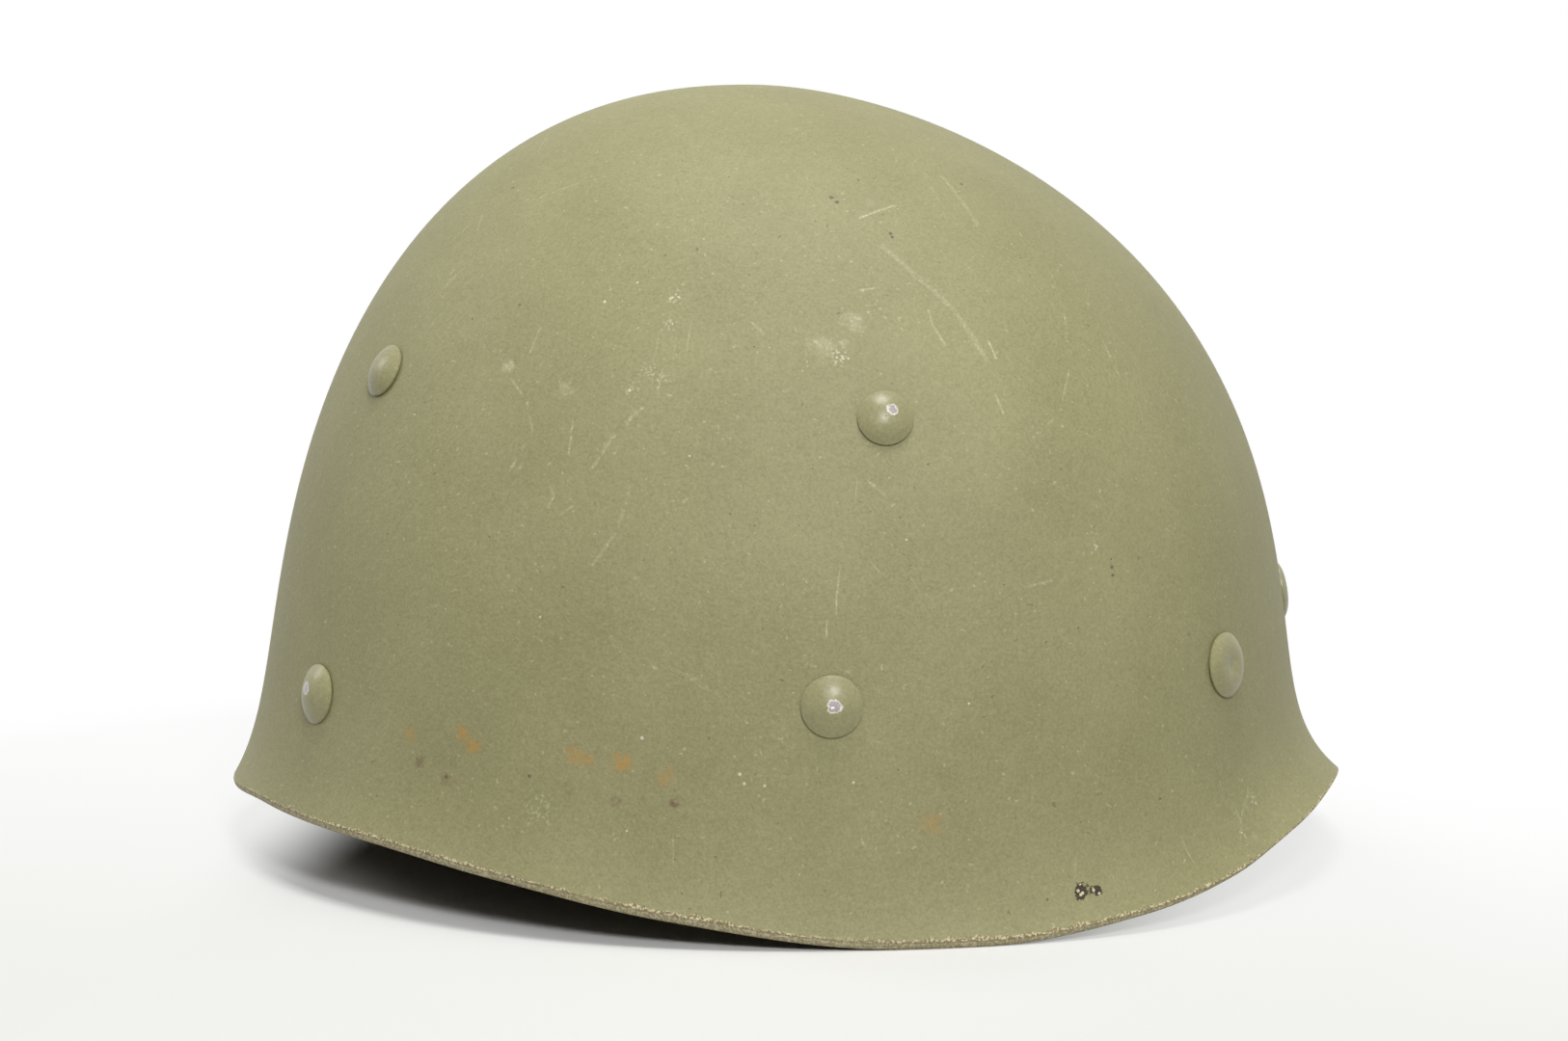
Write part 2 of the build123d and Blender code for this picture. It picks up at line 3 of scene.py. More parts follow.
import bpy
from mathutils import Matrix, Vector


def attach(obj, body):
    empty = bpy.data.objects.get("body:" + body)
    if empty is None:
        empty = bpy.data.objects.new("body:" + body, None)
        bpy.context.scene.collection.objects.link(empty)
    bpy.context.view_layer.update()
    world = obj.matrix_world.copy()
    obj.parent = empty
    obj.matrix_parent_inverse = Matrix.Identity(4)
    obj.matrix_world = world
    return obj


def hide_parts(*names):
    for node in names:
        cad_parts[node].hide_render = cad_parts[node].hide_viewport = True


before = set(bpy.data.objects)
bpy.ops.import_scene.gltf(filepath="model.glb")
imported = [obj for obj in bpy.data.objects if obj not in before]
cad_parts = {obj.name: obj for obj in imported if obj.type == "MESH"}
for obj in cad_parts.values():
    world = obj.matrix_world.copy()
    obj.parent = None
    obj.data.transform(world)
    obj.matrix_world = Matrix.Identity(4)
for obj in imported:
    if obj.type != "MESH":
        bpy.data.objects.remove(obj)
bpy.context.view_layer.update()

bl_info = {
    "name": "Steel pot helmet liner",
    "version": (1, 0, 0),
    "blender": (4, 5, 0),
    "location": "3D View > Sidebar > Liner",
    "description": "Dresses the rigid liner of a steel pot helmet",
    "category": "Object",
}

MM = 0.001
UP = Vector((0.0, 0.0, 1.0))

# Sizes of the shell, in millimetres, the same as the CAD part's
CROWN = 175.0
VISOR_LENGTH, REAR_LENGTH, HALF_WIDTH = 125.5, 113.5, 109.0
WALL = 2.6
FLARES = {"visor": (12.3, 9.3), "rear": (9.2, 15.0), "side": (5.3, 13.6)}
FULLNESS = {"visor": (3.12, 1.70), "rear": (2.51, 2.24), "side": (2.47, 2.03)}
RIM_RISE = 18.0
RIM_PLACES = (-1.0, -0.8, -0.55, -0.25, 0.06, 0.43, 0.555, 0.78, 0.9, 1.0)
RIM_RISES = (0.625, 0.895, 0.865, 0.657, 0.322, 0.0, 0.0, 0.218, 0.481, 0.989)
OVERRUN = 4.0
CORNER = 0.056

# Rivets: angle round the dome from the visor, and height
SUSPENSION = {"front": (22.0, 52.7), "side": (62.9, 111.5), "rear": (138.5, 114.8)}
LEFT_FRONT = (20.6, 55.2)
CHIN_STUD = (70.4, 52.0)
NAPE = (136.6, 43.5)

# Webbing and bands
WEB_WIDTH, WEB, WEB_GAP = 15.0, 1.0, 1.8
RING_Z, RING_WIDTH = 54.0, 14.0
RING_GAPS = (2.0, 8.0, 6.8)
NAPE_GAP, NAPE_LOW, NAPE_WIDTH, NAPE_OVERHANG = 4.0, 18.0, 16.0, 1.0
BAND_GAP, BACKING, BACKING_LOW, BACKING_WIDTH = 3.6, 1.2, 14.0, 28.0
LEATHER, LEATHER_LOW, LEATHER_HEIGHT, LEATHER_OPENING = 1.6, 12.0, 32.0, 15.0
CROWN_CLEARANCE, CENTRE_SHIFT = 33.0, 4.0
SEAM_GAP = 0.3
GLUE, HEM, SEW_ROW, SEW_END = 0.1, 1.6, 3.0, 2.0
FLAT, ARM_END, TAIL_BEND, WEB_TOP = 6.0, 14.0, 15.5, 7.5
RING_LAP = (-7.0, -2.0, 3.0, 8.0)
NAPE_LAP = (0.0, 7.0, NAPE_WIDTH - 2.0)
LAYER = 1.5

# Camera, from the middle of the dome, in millimetres
CAMERA_EYE, CAMERA_AIM = (277.16, -1161.16, 282.40), (7.72, 0.61, 73.77)

# Middle of where the floor keeps its shadow, in metres; farther out it turns white, painted light over any
# shadow there
SHADOW_MIDDLE = (-0.045, -0.075, 0.0)

# Lamps: name, place and side in metres, watts
LAMPS_AIM = (0.0, 0.0, 0.08)
LAMPS = (
    ("softbox_key", (0.7, -1.6, 1.4), 0.5, 24.0),
    ("softbox_top", (0.1, -0.1, 1.9), 0.6, 18.0),
    ("softbox_left", (-1.8, 0.2, 1.1), 0.6, 6.0),
)


def rounded(share, fullness):
    power, root = fullness
    return (1 - min(max(share, 0.0), 1.0) ** power) ** (1 / root)


def towards(angle, visor, rear, side):
    facing = math.cos(math.radians(angle))
    return side + (visor - side) * max(facing, 0) ** 3 + (rear - side) * max(-facing, 0) ** 3


FRONT_REACH = VISOR_LENGTH * rounded(RIM_RISE * RIM_RISES[-1] / CROWN, FULLNESS["visor"]) + FLARES["visor"][0]
REAR_REACH = REAR_LENGTH * rounded(RIM_RISE * RIM_RISES[0] / CROWN, FULLNESS["rear"]) + FLARES["rear"][0]
DOME_X = (REAR_REACH - FRONT_REACH) / 2


def rim_height(x):
    """Height of the rim at a place along the shell."""
    places = [s * (FRONT_REACH if s > 0 else REAR_REACH) for s in RIM_PLACES]
    heights = [s * RIM_RISE for s in RIM_RISES]
    steps = [(heights[i + 1] - heights[i]) / (places[i + 1] - places[i]) for i in range(len(places) - 1)]
    slopes = [steps[0]]
    for before, after in zip(steps, steps[1:]):
        slopes.append(0 if before * after <= 0 else 2 * before * after / (before + after))
    slopes.append(steps[-1])
    if x <= places[0]:
        return heights[0]
    if x >= places[-1]:
        return heights[-1]
    i = max(k for k in range(len(places) - 1) if places[k] <= x)
    width = places[i + 1] - places[i]
    t = (x - places[i]) / width
    return (
        heights[i] * (1 + 2 * t) * (1 - t) ** 2
        + heights[i + 1] * t**2 * (3 - 2 * t)
        + slopes[i] * width * t * (1 - t) ** 2
        - slopes[i + 1] * width * t**2 * (1 - t)
    )


def skin(angle, z, inset=0.0, lift=0.0):
    """Point of the dome at an angle from the visor and a height, in millimetres. lift shifts the flare up."""
    facing, across = math.cos(math.radians(angle)), math.sin(math.radians(angle))
    share = z / (CROWN - inset)
    front = facing > 0
    length = VISOR_LENGTH if front else REAR_LENGTH
    along = (length - inset) * rounded(share, FULLNESS["visor" if front else "rear"])
    sideways = (HALF_WIDTH - inset) * rounded(share, FULLNESS["side"])
    reach = towards(angle, *(FLARES[k][0] for k in ("visor", "rear", "side")))
    fade = towards(angle, *(FLARES[k][1] for k in ("visor", "rear", "side")))
    above = z - lift - rim_height((length + reach) * facing)
    if above < 0:
        above = -OVERRUN * (1 - math.exp(above / OVERRUN))
    flare = reach * math.exp(-above / fade)
    flare -= inset * (math.sqrt(1 + (flare / fade) ** 2) - 1)
    corner = 1 + CORNER * math.sin(math.radians(2 * angle)) ** 2 * max(facing, 0) ** 2
    return Vector((DOME_X + (along + flare) * facing * corner, (sideways + flare) * across * corner, z))


def skin_frame(angle, z):
    """Origin on the shell, and the level, upward and outward directions there."""
    level = (skin(angle + 0.5, z) - skin(angle - 0.5, z)).normalized()
    upward = skin(angle, z + 0.9) - skin(angle, z - 0.9)
    outward = level.cross(upward).normalized()
    return skin(angle, z), level, outward.cross(level), outward


# ---- Mesh helpers


def deselect():
    if bpy.context.object and bpy.context.object.mode != "OBJECT":
        bpy.ops.object.mode_set(mode="OBJECT")
    bpy.ops.object.select_all(action="DESELECT")


def pick(obj):
    deselect()
    obj.select_set(True)
    bpy.context.view_layer.objects.active = obj
    return obj


def mesh_piece(name, points, faces, layers=None, uv=None):
    """Mesh object from points in millimetres. layers are values per point, uv is a pair per point."""
    mesh = bpy.data.meshes.new(name)
    mesh.from_pydata([Vector(p) * MM for p in points], [], faces)
    for key, values in (layers or {}).items():
        mesh.attributes.new(key, "FLOAT", "POINT").data.foreach_set("value", values)
    if uv:
        layer = mesh.uv_layers.new(name="cloth")
        for loop in mesh.loops:
            layer.data[loop.index].uv = uv[loop.vertex_index]
    obj = bpy.data.objects.new(name, mesh)
    bpy.context.scene.collection.objects.link(obj)
    pick(obj)
    return obj


def modify(obj, kind, **values):
    """Adds a modifier and applies it."""
    pick(obj)
    modifier = obj.modifiers.new(kind.lower(), kind)
    for key, value in values.items():
        setattr(modifier, key, value)
    bpy.ops.object.modifier_apply(modifier=modifier.name)
    return obj


def soften(obj, width, segments, angle):
    """Rounds the edges sharper than an angle in degrees; the width is in millimetres."""
    limit = math.radians(angle)
    return modify(obj, "BEVEL", width=width * MM, segments=segments, limit_method="ANGLE", angle_limit=limit)


def outwards(obj):
    pick(obj)
    bpy.ops.object.mode_set(mode="EDIT")
    bpy.ops.mesh.select_all(action="SELECT")
    bpy.ops.mesh.normals_make_consistent(inside=False)
    bpy.ops.object.mode_set(mode="OBJECT")
    return obj


def finish_piece(obj, material, body="helmet", nodes=(), angle=50):
    pick(obj)
    bpy.ops.object.shade_smooth_by_angle(angle=math.radians(angle))
    obj.data.materials.clear()
    obj.data.materials.append(material)
    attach(obj, body)
    if nodes:
        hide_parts(*nodes)
    return obj


def blended(points, sides, spacing):
    """Points on a smooth curve through the given ones, and the width direction turned smoothly along it."""
    ends = [points[0] * 2 - points[1], *points, points[-1] * 2 - points[-2]]
    line, across = [], []
    for k, (a, b, c, d) in enumerate(zip(ends, ends[1:], ends[2:], ends[3:])):
        steps = max(2, round((c - b).length / spacing))
        for i in range(steps):
            t = i / steps
            bend = 2 * b + (c - a) * t + (2 * a - 5 * b + 4 * c - d) * t * t + (3 * b - a - 3 * c + d) * t**3
            line.append(bend * 0.5)
            across.append(sides[k].lerp(sides[k + 1], t).normalized())
    return line + [points[-1]], across + [sides[-1]]


def ribbon(name, line, across, width, thick, closed=False, bow=0.0, columns=5, bevel=0.25):
    """Woven strap along a line of points. across gives its width direction at each point."""
    count = len(line)
    points, uv, run = [], [], 0.0
    for i, p in enumerate(line):
        before = line[i - 1] if (i or closed) else p
        after = line[(i + 1) % count] if (i + 1 < count or closed) else p
        tangent = (after - before).normalized()
        side = across[i] if isinstance(across, list) else across
        side = (side - tangent * side.dot(tangent)).normalized()
        normal = tangent.cross(side)
        if i:
            run += (p - line[i - 1]).length
        for k in range(columns):
            s = 2 * k / (columns - 1) - 1
            points.append(p + side * (s * width / 2) + normal * (bow * (1 - s * s)))
            uv.append(((s + 1) * width / 2 * MM, run * MM))
    faces = []
    for i in range(count if closed else count - 1):
        j = (i + 1) % count
        for k in range(columns - 1):
            faces.append((i * columns + k, i * columns + k + 1, j * columns + k + 1, j * columns + k))
    obj = mesh_piece(name, points, faces, uv=uv)
    modify(obj, "SOLIDIFY", thickness=thick * MM, offset=0.0, use_even_offset=True)
    if bevel:
        soften(obj, bevel, 2, 50)
    return obj


def join(name, pieces):
    deselect()
    for piece in pieces:
        piece.select_set(True)
    bpy.context.view_layer.objects.active = pieces[0]
    bpy.ops.object.join()
    joined = bpy.context.object
    joined.name = joined.data.name = name
    return joined


def stitches(name, line, normals, along=2.6, gap=1.4, radius=0.28):
    """A row of thread stitches that lie on a surface, each a flattened bead."""
    points, faces = [], []
    walked, due = 0.0, 0.0
    for i in range(len(line) - 1):
        step = (line[i + 1] - line[i]).length
        while due <= walked + step:
            t = (due - walked) / step
            centre = line[i].lerp(line[i + 1], t)
            tangent = (line[i + 1] - line[i]).normalized()
            normal = normals[i].lerp(normals[i + 1], t).normalized()
            side = normal.cross(tangent).normalized()
            base = len(points)
            for u, r in ((-0.5, 0.35), (-0.3, 1.0), (0.3, 1.0), (0.5, 0.35)):
                for k in range(6):
                    turn = k * math.pi / 3
                    points.append(
                        centre
                        + tangent * (u * along)
                        + (side * math.cos(turn) + normal * math.sin(turn)) * (radius * r)
                        + normal * (radius * 0.3)
                    )
            for ring in range(3):
                for k in range(6):
                    a, b = base + ring * 6 + k, base + ring * 6 + (k + 1) % 6
                    faces.append((a, b, b + 6, a + 6))
            faces.append(tuple(base + k for k in reversed(range(6))))
            faces.append(tuple(base + 18 + k for k in range(6)))
            due += along + gap
        walked += step
    return outwards(mesh_piece(name, points, faces))


# ---- Node helpers


class Nodes:
    """Short way to place and link nodes in one tree."""

    def __init__(self, tree):
        self.tree = tree

    def new(self, kind, inputs=None, **values):
        node = self.tree.nodes.new(kind)
        for key, value in values.items():
            setattr(node, key, value)
        for key, value in (inputs or {}).items():
            socket = node.inputs[key]
            if isinstance(value, bpy.types.NodeSocket):
                self.tree.links.new(value, socket)
            else:
                socket.default_value = value
        return node

    def math(self, operation, a, b=None, c=None, clamp=False):
        inputs = {0: a}
        if b is not None:
            inputs[1] = b
        if c is not None:
            inputs[2] = c
        return self.new("ShaderNodeMath", inputs, operation=operation, use_clamp=clamp).outputs[0]

    def times(self, a, b, clamp=False):
        return self.math("MULTIPLY", a, b, clamp=clamp)

    def fma(self, a, b, c, clamp=False):
        """a times b, plus c."""
        return self.math("MULTIPLY_ADD", a, b, c, clamp=clamp)

    def mix(self, factor, a, b):
        return self.new("ShaderNodeMix", {0: factor, 6: a, 7: b}, data_type="RGBA").outputs[2]

    def noise(self, vector, scale, detail=2.0, rough=0.5, distortion=0.0):
        inputs = {"Vector": vector, "Scale": scale, "Detail": detail, "Roughness": rough}
        return self.new("ShaderNodeTexNoise", {**inputs, "Distortion": distortion}).outputs[0]

    def ramp(self, value, low, high):
        """0 below low, 1 above high, smooth between."""
        inputs = {"Value": value, "From Min": low, "From Max": high}
        return self.new("ShaderNodeMapRange", inputs, interpolation_type="SMOOTHSTEP").outputs[0]

    def place(self):
        return self.new("ShaderNodeTexCoord").outputs["Object"]

    def bump(self, height, strength, distance):
        inputs = {"Height": height, "Strength": strength, "Distance": distance}
        return self.new("ShaderNodeBump", inputs).outputs[0]

    def group(self, tree, inputs):
        return self.new("ShaderNodeGroup", inputs, node_tree=tree)


def effect(name, inputs, outputs, build):
    """Shader node group that puts out values. inputs are names with their value, or None for a vector."""
    tree = bpy.data.node_groups.new(name, "ShaderNodeTree")
    for label, default in inputs.items():
        kind = "NodeSocketVector" if default is None else "NodeSocketFloat"
        socket = tree.interface.new_socket(label, in_out="INPUT", socket_type=kind)
        if default is not None:
            socket.default_value = default
    for label in outputs:
        tree.interface.new_socket(label, in_out="OUTPUT", socket_type="NodeSocketFloat")
    n = Nodes(tree)
    given = n.new("NodeGroupInput")
    out = n.new("NodeGroupOutput")
    for label, socket in build(n, given.outputs).items():
        tree.links.new(socket, out.inputs[label])
    return tree


def material(name):
    """Empty material with a Principled BSDF; returns it, its nodes and the shader."""
    made = bpy.data.materials.new(name)
    made.use_nodes = True
    made.node_tree.nodes.clear()
    n = Nodes(made.node_tree)
    shader = n.new("ShaderNodeBsdfPrincipled")
    out = n.new("ShaderNodeOutputMaterial")
    made.node_tree.links.new(shader.outputs[0], out.inputs[0])
    return made, n, shader


def set_shader(n, shader, **values):
    names = {
        "colour": "Base Color", "rough": "Roughness", "metal": "Metallic", "normal": "Normal",
        "specular": "Specular IOR Level", "sheen": "Sheen Weight",
    }
    for key, value in values.items():
        socket = shader.inputs[names[key]]
        if isinstance(value, bpy.types.NodeSocket):
            n.tree.links.new(value, socket)
        else:
            socket.default_value = value


def seen_rays(n):
    """1 for the rays that see the background: straight, mirrored or through glass."""
    rays = n.new("ShaderNodeLightPath").outputs
    mirrored = n.math("MAXIMUM", rays["Is Glossy Ray"], rays["Is Transmission Ray"])
    return n.math("MAXIMUM", rays["Is Camera Ray"], mirrored)


def srgb(red, green, blue):
    """Linear colour from 0-255 values."""
    out = []
    for v in (red, green, blue):
        v /= 255
        out.append(v / 12.92 if v <= 0.04045 else ((v + 0.055) / 1.055) ** 2.4)
    return (*out, 1.0)


def shade(colour, factor):
    """A linear colour made darker or lighter."""
    return (*(min(1.0, c * factor) for c in colour[:3]), 1.0)


def build_grain(n, given):
    """Fine sprayed-paint grain: blotches, light specks and dark pits."""
    vector = given["Vector"]
    fine = n.noise(vector, 1500.0, 3.0, 0.65)
    middle = n.noise(vector, 420.0, 3.0, 0.6)
    broad = n.noise(vector, 38.0, 2.0, 0.5)
    tone = n.fma(n.math("SUBTRACT", fine, 0.5), 1.3, 0.5)
    tone = n.fma(n.math("SUBTRACT", middle, 0.5), 0.35, tone)
    tone = n.fma(n.math("SUBTRACT", broad, 0.5), 0.5, tone, clamp=True)
    specks = n.ramp(n.noise(vector, 900.0, 1.0, 0.4), 0.715, 0.77)
    pits = n.ramp(n.noise(vector, 610.0, 2.0, 0.5, 0.4), 0.27, 0.22)
    height = n.fma(fine, 0.5, n.times(middle, 0.9))
    return {"Tone": tone, "Specks": specks, "Pits": pits, "Height": height}


def build_scratches(n, given):
    """Short fine scratches in two directions, in patches."""
    vector = given["Vector"]
    lines = None
    for turn, stretch in (((0.3, 0.5, 0.2), (40, 900, 60)), ((0.9, -0.4, 1.1), (700, 30, 45))):
        mapped = n.new("ShaderNodeMapping", {"Vector": vector, "Rotation": turn, "Scale": stretch}).outputs[0]
        streak = n.ramp(n.noise(mapped, 1.0, 2.0, 0.5, 0.6), 0.70, 0.76)
        lines = streak if lines is None else n.math("MAXIMUM", lines, streak)
    patches = n.ramp(n.noise(vector, 26.0, 2.0, 0.5), 0.52, 0.68)
    return {"Mask": n.times(n.times(lines, patches), given["Amount"], clamp=True)}


def build_line_mark(n, given):
    """A scratch between two points, broken up by the noise it is given."""
    def vec(operation, a, b):
        return n.new("ShaderNodeVectorMath", {0: a, 1: b}, operation=operation)

    run = vec("SUBTRACT", given["End"], given["Start"]).outputs[0]
    offset = vec("SUBTRACT", given["Vector"], given["Start"]).outputs[0]
    length = vec("DOT_PRODUCT", run, run).outputs["Value"]
    share = n.math("DIVIDE", vec("DOT_PRODUCT", offset, run).outputs["Value"], length, clamp=True)
    nearest = n.new("ShaderNodeVectorMath", {0: run, "Scale": share}, operation="SCALE").outputs[0]
    away = vec("DISTANCE", offset, nearest).outputs["Value"]
    mask = n.ramp(n.math("DIVIDE", away, n.times(given["Width"], given["Ragged"])), 1.0, 0.35)
    gaps = n.ramp(given["Breaks"], given["Gaps"], n.math("ADD", given["Gaps"], 0.12))
    return {"Mask": n.times(n.times(mask, gaps), given["Strength"])}


def build_spot(n, given):
    """A patch round a point, its outline made ragged by the noise it is given."""
    away = n.new("ShaderNodeVectorMath", {0: given["Vector"], 1: given["Centre"]}, operation="DISTANCE")
    reach = n.math("ADD", n.math("DIVIDE", away.outputs["Value"], given["Radius"]), given["Ragged"])
    return {"Mask": n.times(n.ramp(reach, 1.0, given["Core"]), given["Strength"])}


def build_weave(n, given):
    """Herringbone cotton weave on a strap's own map, in metres."""
    parts = n.new("ShaderNodeSeparateXYZ", {0: given["Vector"]}).outputs
    u = n.math("DIVIDE", parts[0], given["Thread"])
    v = n.math("DIVIDE", parts[1], given["Thread"])
    chevron = n.math("PINGPONG", u, given["Chevron"])
    rib = n.math("SINE", n.times(n.math("ADD", chevron, v), 3.14159))
    warp = n.math("SINE", n.times(u, 6.28318))
    height = n.fma(rib, 0.35, n.fma(warp, 0.15, 0.5))
    fuzz = n.noise(given["Vector"], 3000.0, 2.0, 0.6)
    return {"Height": height, "Tone": n.fma(n.math("SUBTRACT", fuzz, 0.5), 0.8, height, clamp=True)}


EFFECTS = {}


def make_effects():
    vector = {"Vector": None}
    ends = {**vector, "Start": None, "End": None}
    centre = {**vector, "Centre": None}
    for key, name, inputs, outputs, build in (
        ("grain", "paint_grain", vector, ("Tone", "Specks", "Pits", "Height"), build_grain),
        ("scratches", "fine_scratches", {**vector, "Amount": 1.0}, ("Mask",), build_scratches),
        (
            "line", "scratch_line",
            {**ends, "Width": 0.0006, "Ragged": 1.0, "Breaks": 1.0, "Gaps": 0.4, "Strength": 1.0},
            ("Mask",), build_line_mark,
        ),
        (
            "spot", "ragged_spot",
            {**centre, "Radius": 0.003, "Core": 0.3, "Ragged": 0.0, "Strength": 1.0},
            ("Mask",), build_spot,
        ),
        (
            "weave", "herringbone", {**vector, "Thread": 0.0008, "Chevron": 4.0},
            ("Height", "Tone"), build_weave,
        ),
    ):
        EFFECTS[key] = effect(name, inputs, outputs, build)


# Marks on the shell, in millimetres. Scratches: points, width, gaps, strength
SCRATCHES = (
    (((29.5, -51.9, 151.4), (35.9, -45.2, 153.6)), 0.55, 0.4, 0.9),
    (
        ((35.4, -56.0, 145.8), (43.7, -58.5, 139.6), (52.4, -60.3, 132.7), (60.2, -63.8, 122.8)),
        1.5, 0.3, 0.38,
    ),
    (((60.1, -61.0, 126.2), (62.1, -62.5, 122.7)), 0.4, 0.3, 1.0),
    (((32.6, -65.9, 137.2), (42.4, -60.5, 138.3)), 0.35, 0.44, 0.6),
    (((47.2, -63.1, 132.9), (48.5, -64.9, 130.0), (51.6, -66.6, 125.9)), 0.4, 0.36, 0.6),
    (((43.1, -28.2, 158.4), (53.2, -38.3, 149.0)), 1.4, 0.36, 0.35),
    (((39.3, -30.3, 159.4), (47.6, -43.2, 149.4)), 0.8, 0.42, 0.3),
    (((62.9, -67.3, 115.6), (64.8, -68.4, 111.8)), 0.5, 0.36, 0.5),
    (
        (
            (69.4, -36.3, 138.4), (74.2, -44.7, 128.9), (76.5, -53.5, 118.7), (75.7, -60.8, 110.6),
            (71.2, -67.3, 106.4),
        ),
        0.35, 0.48, 0.6,
    ),
    (((79.3, -37.8, 128.2), (83.6, -41.3, 120.9), (86.2, -42.8, 116.2)), 0.45, 0.4, 0.45),
    (((-10.5, -88.7, 113.3), (-16.0, -91.0, 107.7), (-20.3, -93.5, 100.8)), 0.8, 0.38, 0.5),
    (((-6.9, -83.2, 123.3), (-7.9, -90.6, 109.4)), 0.7, 0.45, 0.5),
    (((-11.5, -95.7, 96.7), (-13.6, -98.5, 88.0), (-18.6, -100.3, 80.5)), 0.8, 0.42, 0.42),
    (
        ((-42.9, -79.8, 117.9), (-37.4, -84.4, 112.8), (-35.4, -87.8, 107.0), (-39.9, -90.0, 98.7)),
        0.7, 0.42, 0.42,
    ),
    (((-26.0, -88.8, 109.6), (-26.2, -91.7, 103.1)), 0.4, 0.34, 0.5),
    (((-29.8, -93.7, 96.1), (-28.9, -94.6, 94.1), (-30.0, -95.1, 91.8)), 0.5, 0.34, 0.5),
    (((-24.2, -96.0, 92.4), (-26.7, -96.1, 90.7)), 0.4, 0.34, 0.5),
    (((-37.0, -75.5, 128.1), (-38.4, -78.2, 123.1)), 0.5, 0.4, 0.4),
    (((11.1, -76.8, 130.8), (13.9, -77.9, 128.5)), 0.7, 0.36, 0.35),
    (((71.4, -79.9, 75.6), (78.9, -74.4, 77.0)), 0.4, 0.44, 0.45),
    (((-44.7, -47.3, 153.5), (-35.8, -47.2, 156.9)), 0.4, 0.44, 0.45),
    (((-107.7, -46.8, 53.3), (-90.2, -70.4, 57.7), (-76.7, -82.1, 59.9)), 0.5, 0.46, 0.4),
)
# Spots: centre, radius and, where there is one, strength
SPECKLED = (
    ((-6.3, -74.8, 135.7), 2.4, 0.9), ((-6.5, -78.8, 130.3), 1.8, 0.7), ((-9.3, -84.7, 120.7), 3.4, 0.45),
    ((-18.4, -81.5, 125.3), 1.6, 0.7), ((-6.1, -85.8, 118.9), 2.8, 0.4), ((30.3, -76.9, 123.9), 2.4, 0.8),
    ((35.9, -68.1, 133.2), 2.6, 0.5), ((-13.4, -86.8, 116.7), 2.8, 0.4), ((83.4, -67.1, 86.9), 1.7, 0.9),
    ((84.8, -67.5, 82.8), 1.9, 0.9), ((79.8, -86.6, 9.4), 1.0, 1.0), ((-112.3, -28.4, 67.8), 6.0, 0.5),
    ((-28.7, -108.1, 27.8), 5.0, 0.35), ((116.6, -38.6, 21.9), 1.6, 0.8), ((115.3, -47.2, 15.9), 1.4, 0.9),
    ((-95.4, -78.6, 16.5), 3.5, 0.6),
)
SOFT_PALE = (
    ((-28.3, -85.0, 116.3), 2.6, 0.5), ((-43.2, -78.5, 119.8), 2.2, 0.8),
    ((26.4, -76.6, 126.0), 4.5, 0.6), ((32.3, -71.4, 130.8), 3.6, 0.55), ((30.9, -74.9, 126.6), 1.6, 0.5),
    ((30.3, -47.3, 154.3), 2.0, 0.25), ((117.5, -44.6, 14.9), 1.2, 0.5),
)
PALE_DOTS = (
    ((-22.5, -74.7, 134.2), 0.45), ((-13.8, -86.8, 116.7), 0.45), ((-15.7, -72.4, 138.3), 0.35),
    ((-6.0, -107.5, 44.6), 0.5), ((31.2, -76.8, 123.7), 0.35), ((29.9, -77.0, 123.9), 0.32),
    ((32.3, -76.4, 123.7), 0.3), ((1.0, -92.7, 103.8), 0.3), ((112.5, -57.1, 10.6), 0.3),
    ((-8.8, -110.0, 24.6), 0.35), ((15.3, -106.4, 37.5), 0.5), ((16.3, -106.5, 35.5), 0.45),
    ((20.6, -105.8, 35.1), 0.4), ((39.0, -101.0, 35.7), 0.4), ((61.9, -90.0, 51.8), 0.35),
    ((47.7, -88.3, 86.6), 0.3), ((-30.2, -101.3, 68.8), 0.35), ((-66.8, -72.5, 107.4), 0.3),
)
RUST = (
    ((-45.0, -102.3, 39.8), 2.4, 1.0), ((-48.2, -100.8, 41.9), 2.6, 0.72),
    ((-61.8, -95.2, 40.0), 2.6, 0.48), ((-21.2, -107.4, 39.7), 2.6, 0.72),
    ((-17.9, -107.8, 39.3), 2.2, 0.72), ((-10.5, -108.1, 39.1), 3.2, 0.96),
    ((-0.5, -108.3, 36.5), 3.2, 0.48), ((54.9, -96.2, 26.3), 3.4, 0.56),
)
BROWN = (
    ((-58.8, -97.7, 34.2), 2.2, 0.75), ((-52.0, -101.0, 32.1), 2.2, 1.0),
    ((-11.8, -109.2, 30.8), 2.0, 0.94), ((1.2, -108.8, 30.8), 2.0, 1.0), ((-50.0, -101.9, 31.3), 1.6, 0.62),
    ((-22.1, -108.2, 32.8), 2.2, 0.38),
)
DARK_CHIPS = (
    ((22.5, -49.4, 155.4), 0.7), ((23.9, -50.1, 154.4), 0.6), ((36.4, -52.5, 148.2), 0.5),
    ((37.0, -53.2, 147.5), 0.4), ((47.3, -27.1, 156.6), 0.5), ((88.3, -65.2, 80.0), 0.35),
    ((88.5, -65.6, 78.3), 0.5), ((88.8, -65.9, 76.5), 0.45), ((-51.8, -101.1, 32.3), 0.5),
    ((-31.4, -106.5, 34.7), 0.5), ((78.8, -87.3, 8.9), 0.5),
)
CLOTH_CHIPS = (
    ((85.4, -82.8, 9.9), 1.9), ((88.6, -80.6, 9.7), 1.3), ((87.5, -81.3, 10.1), 0.8),
)


def metres(place):
    return [c * MM for c in place]


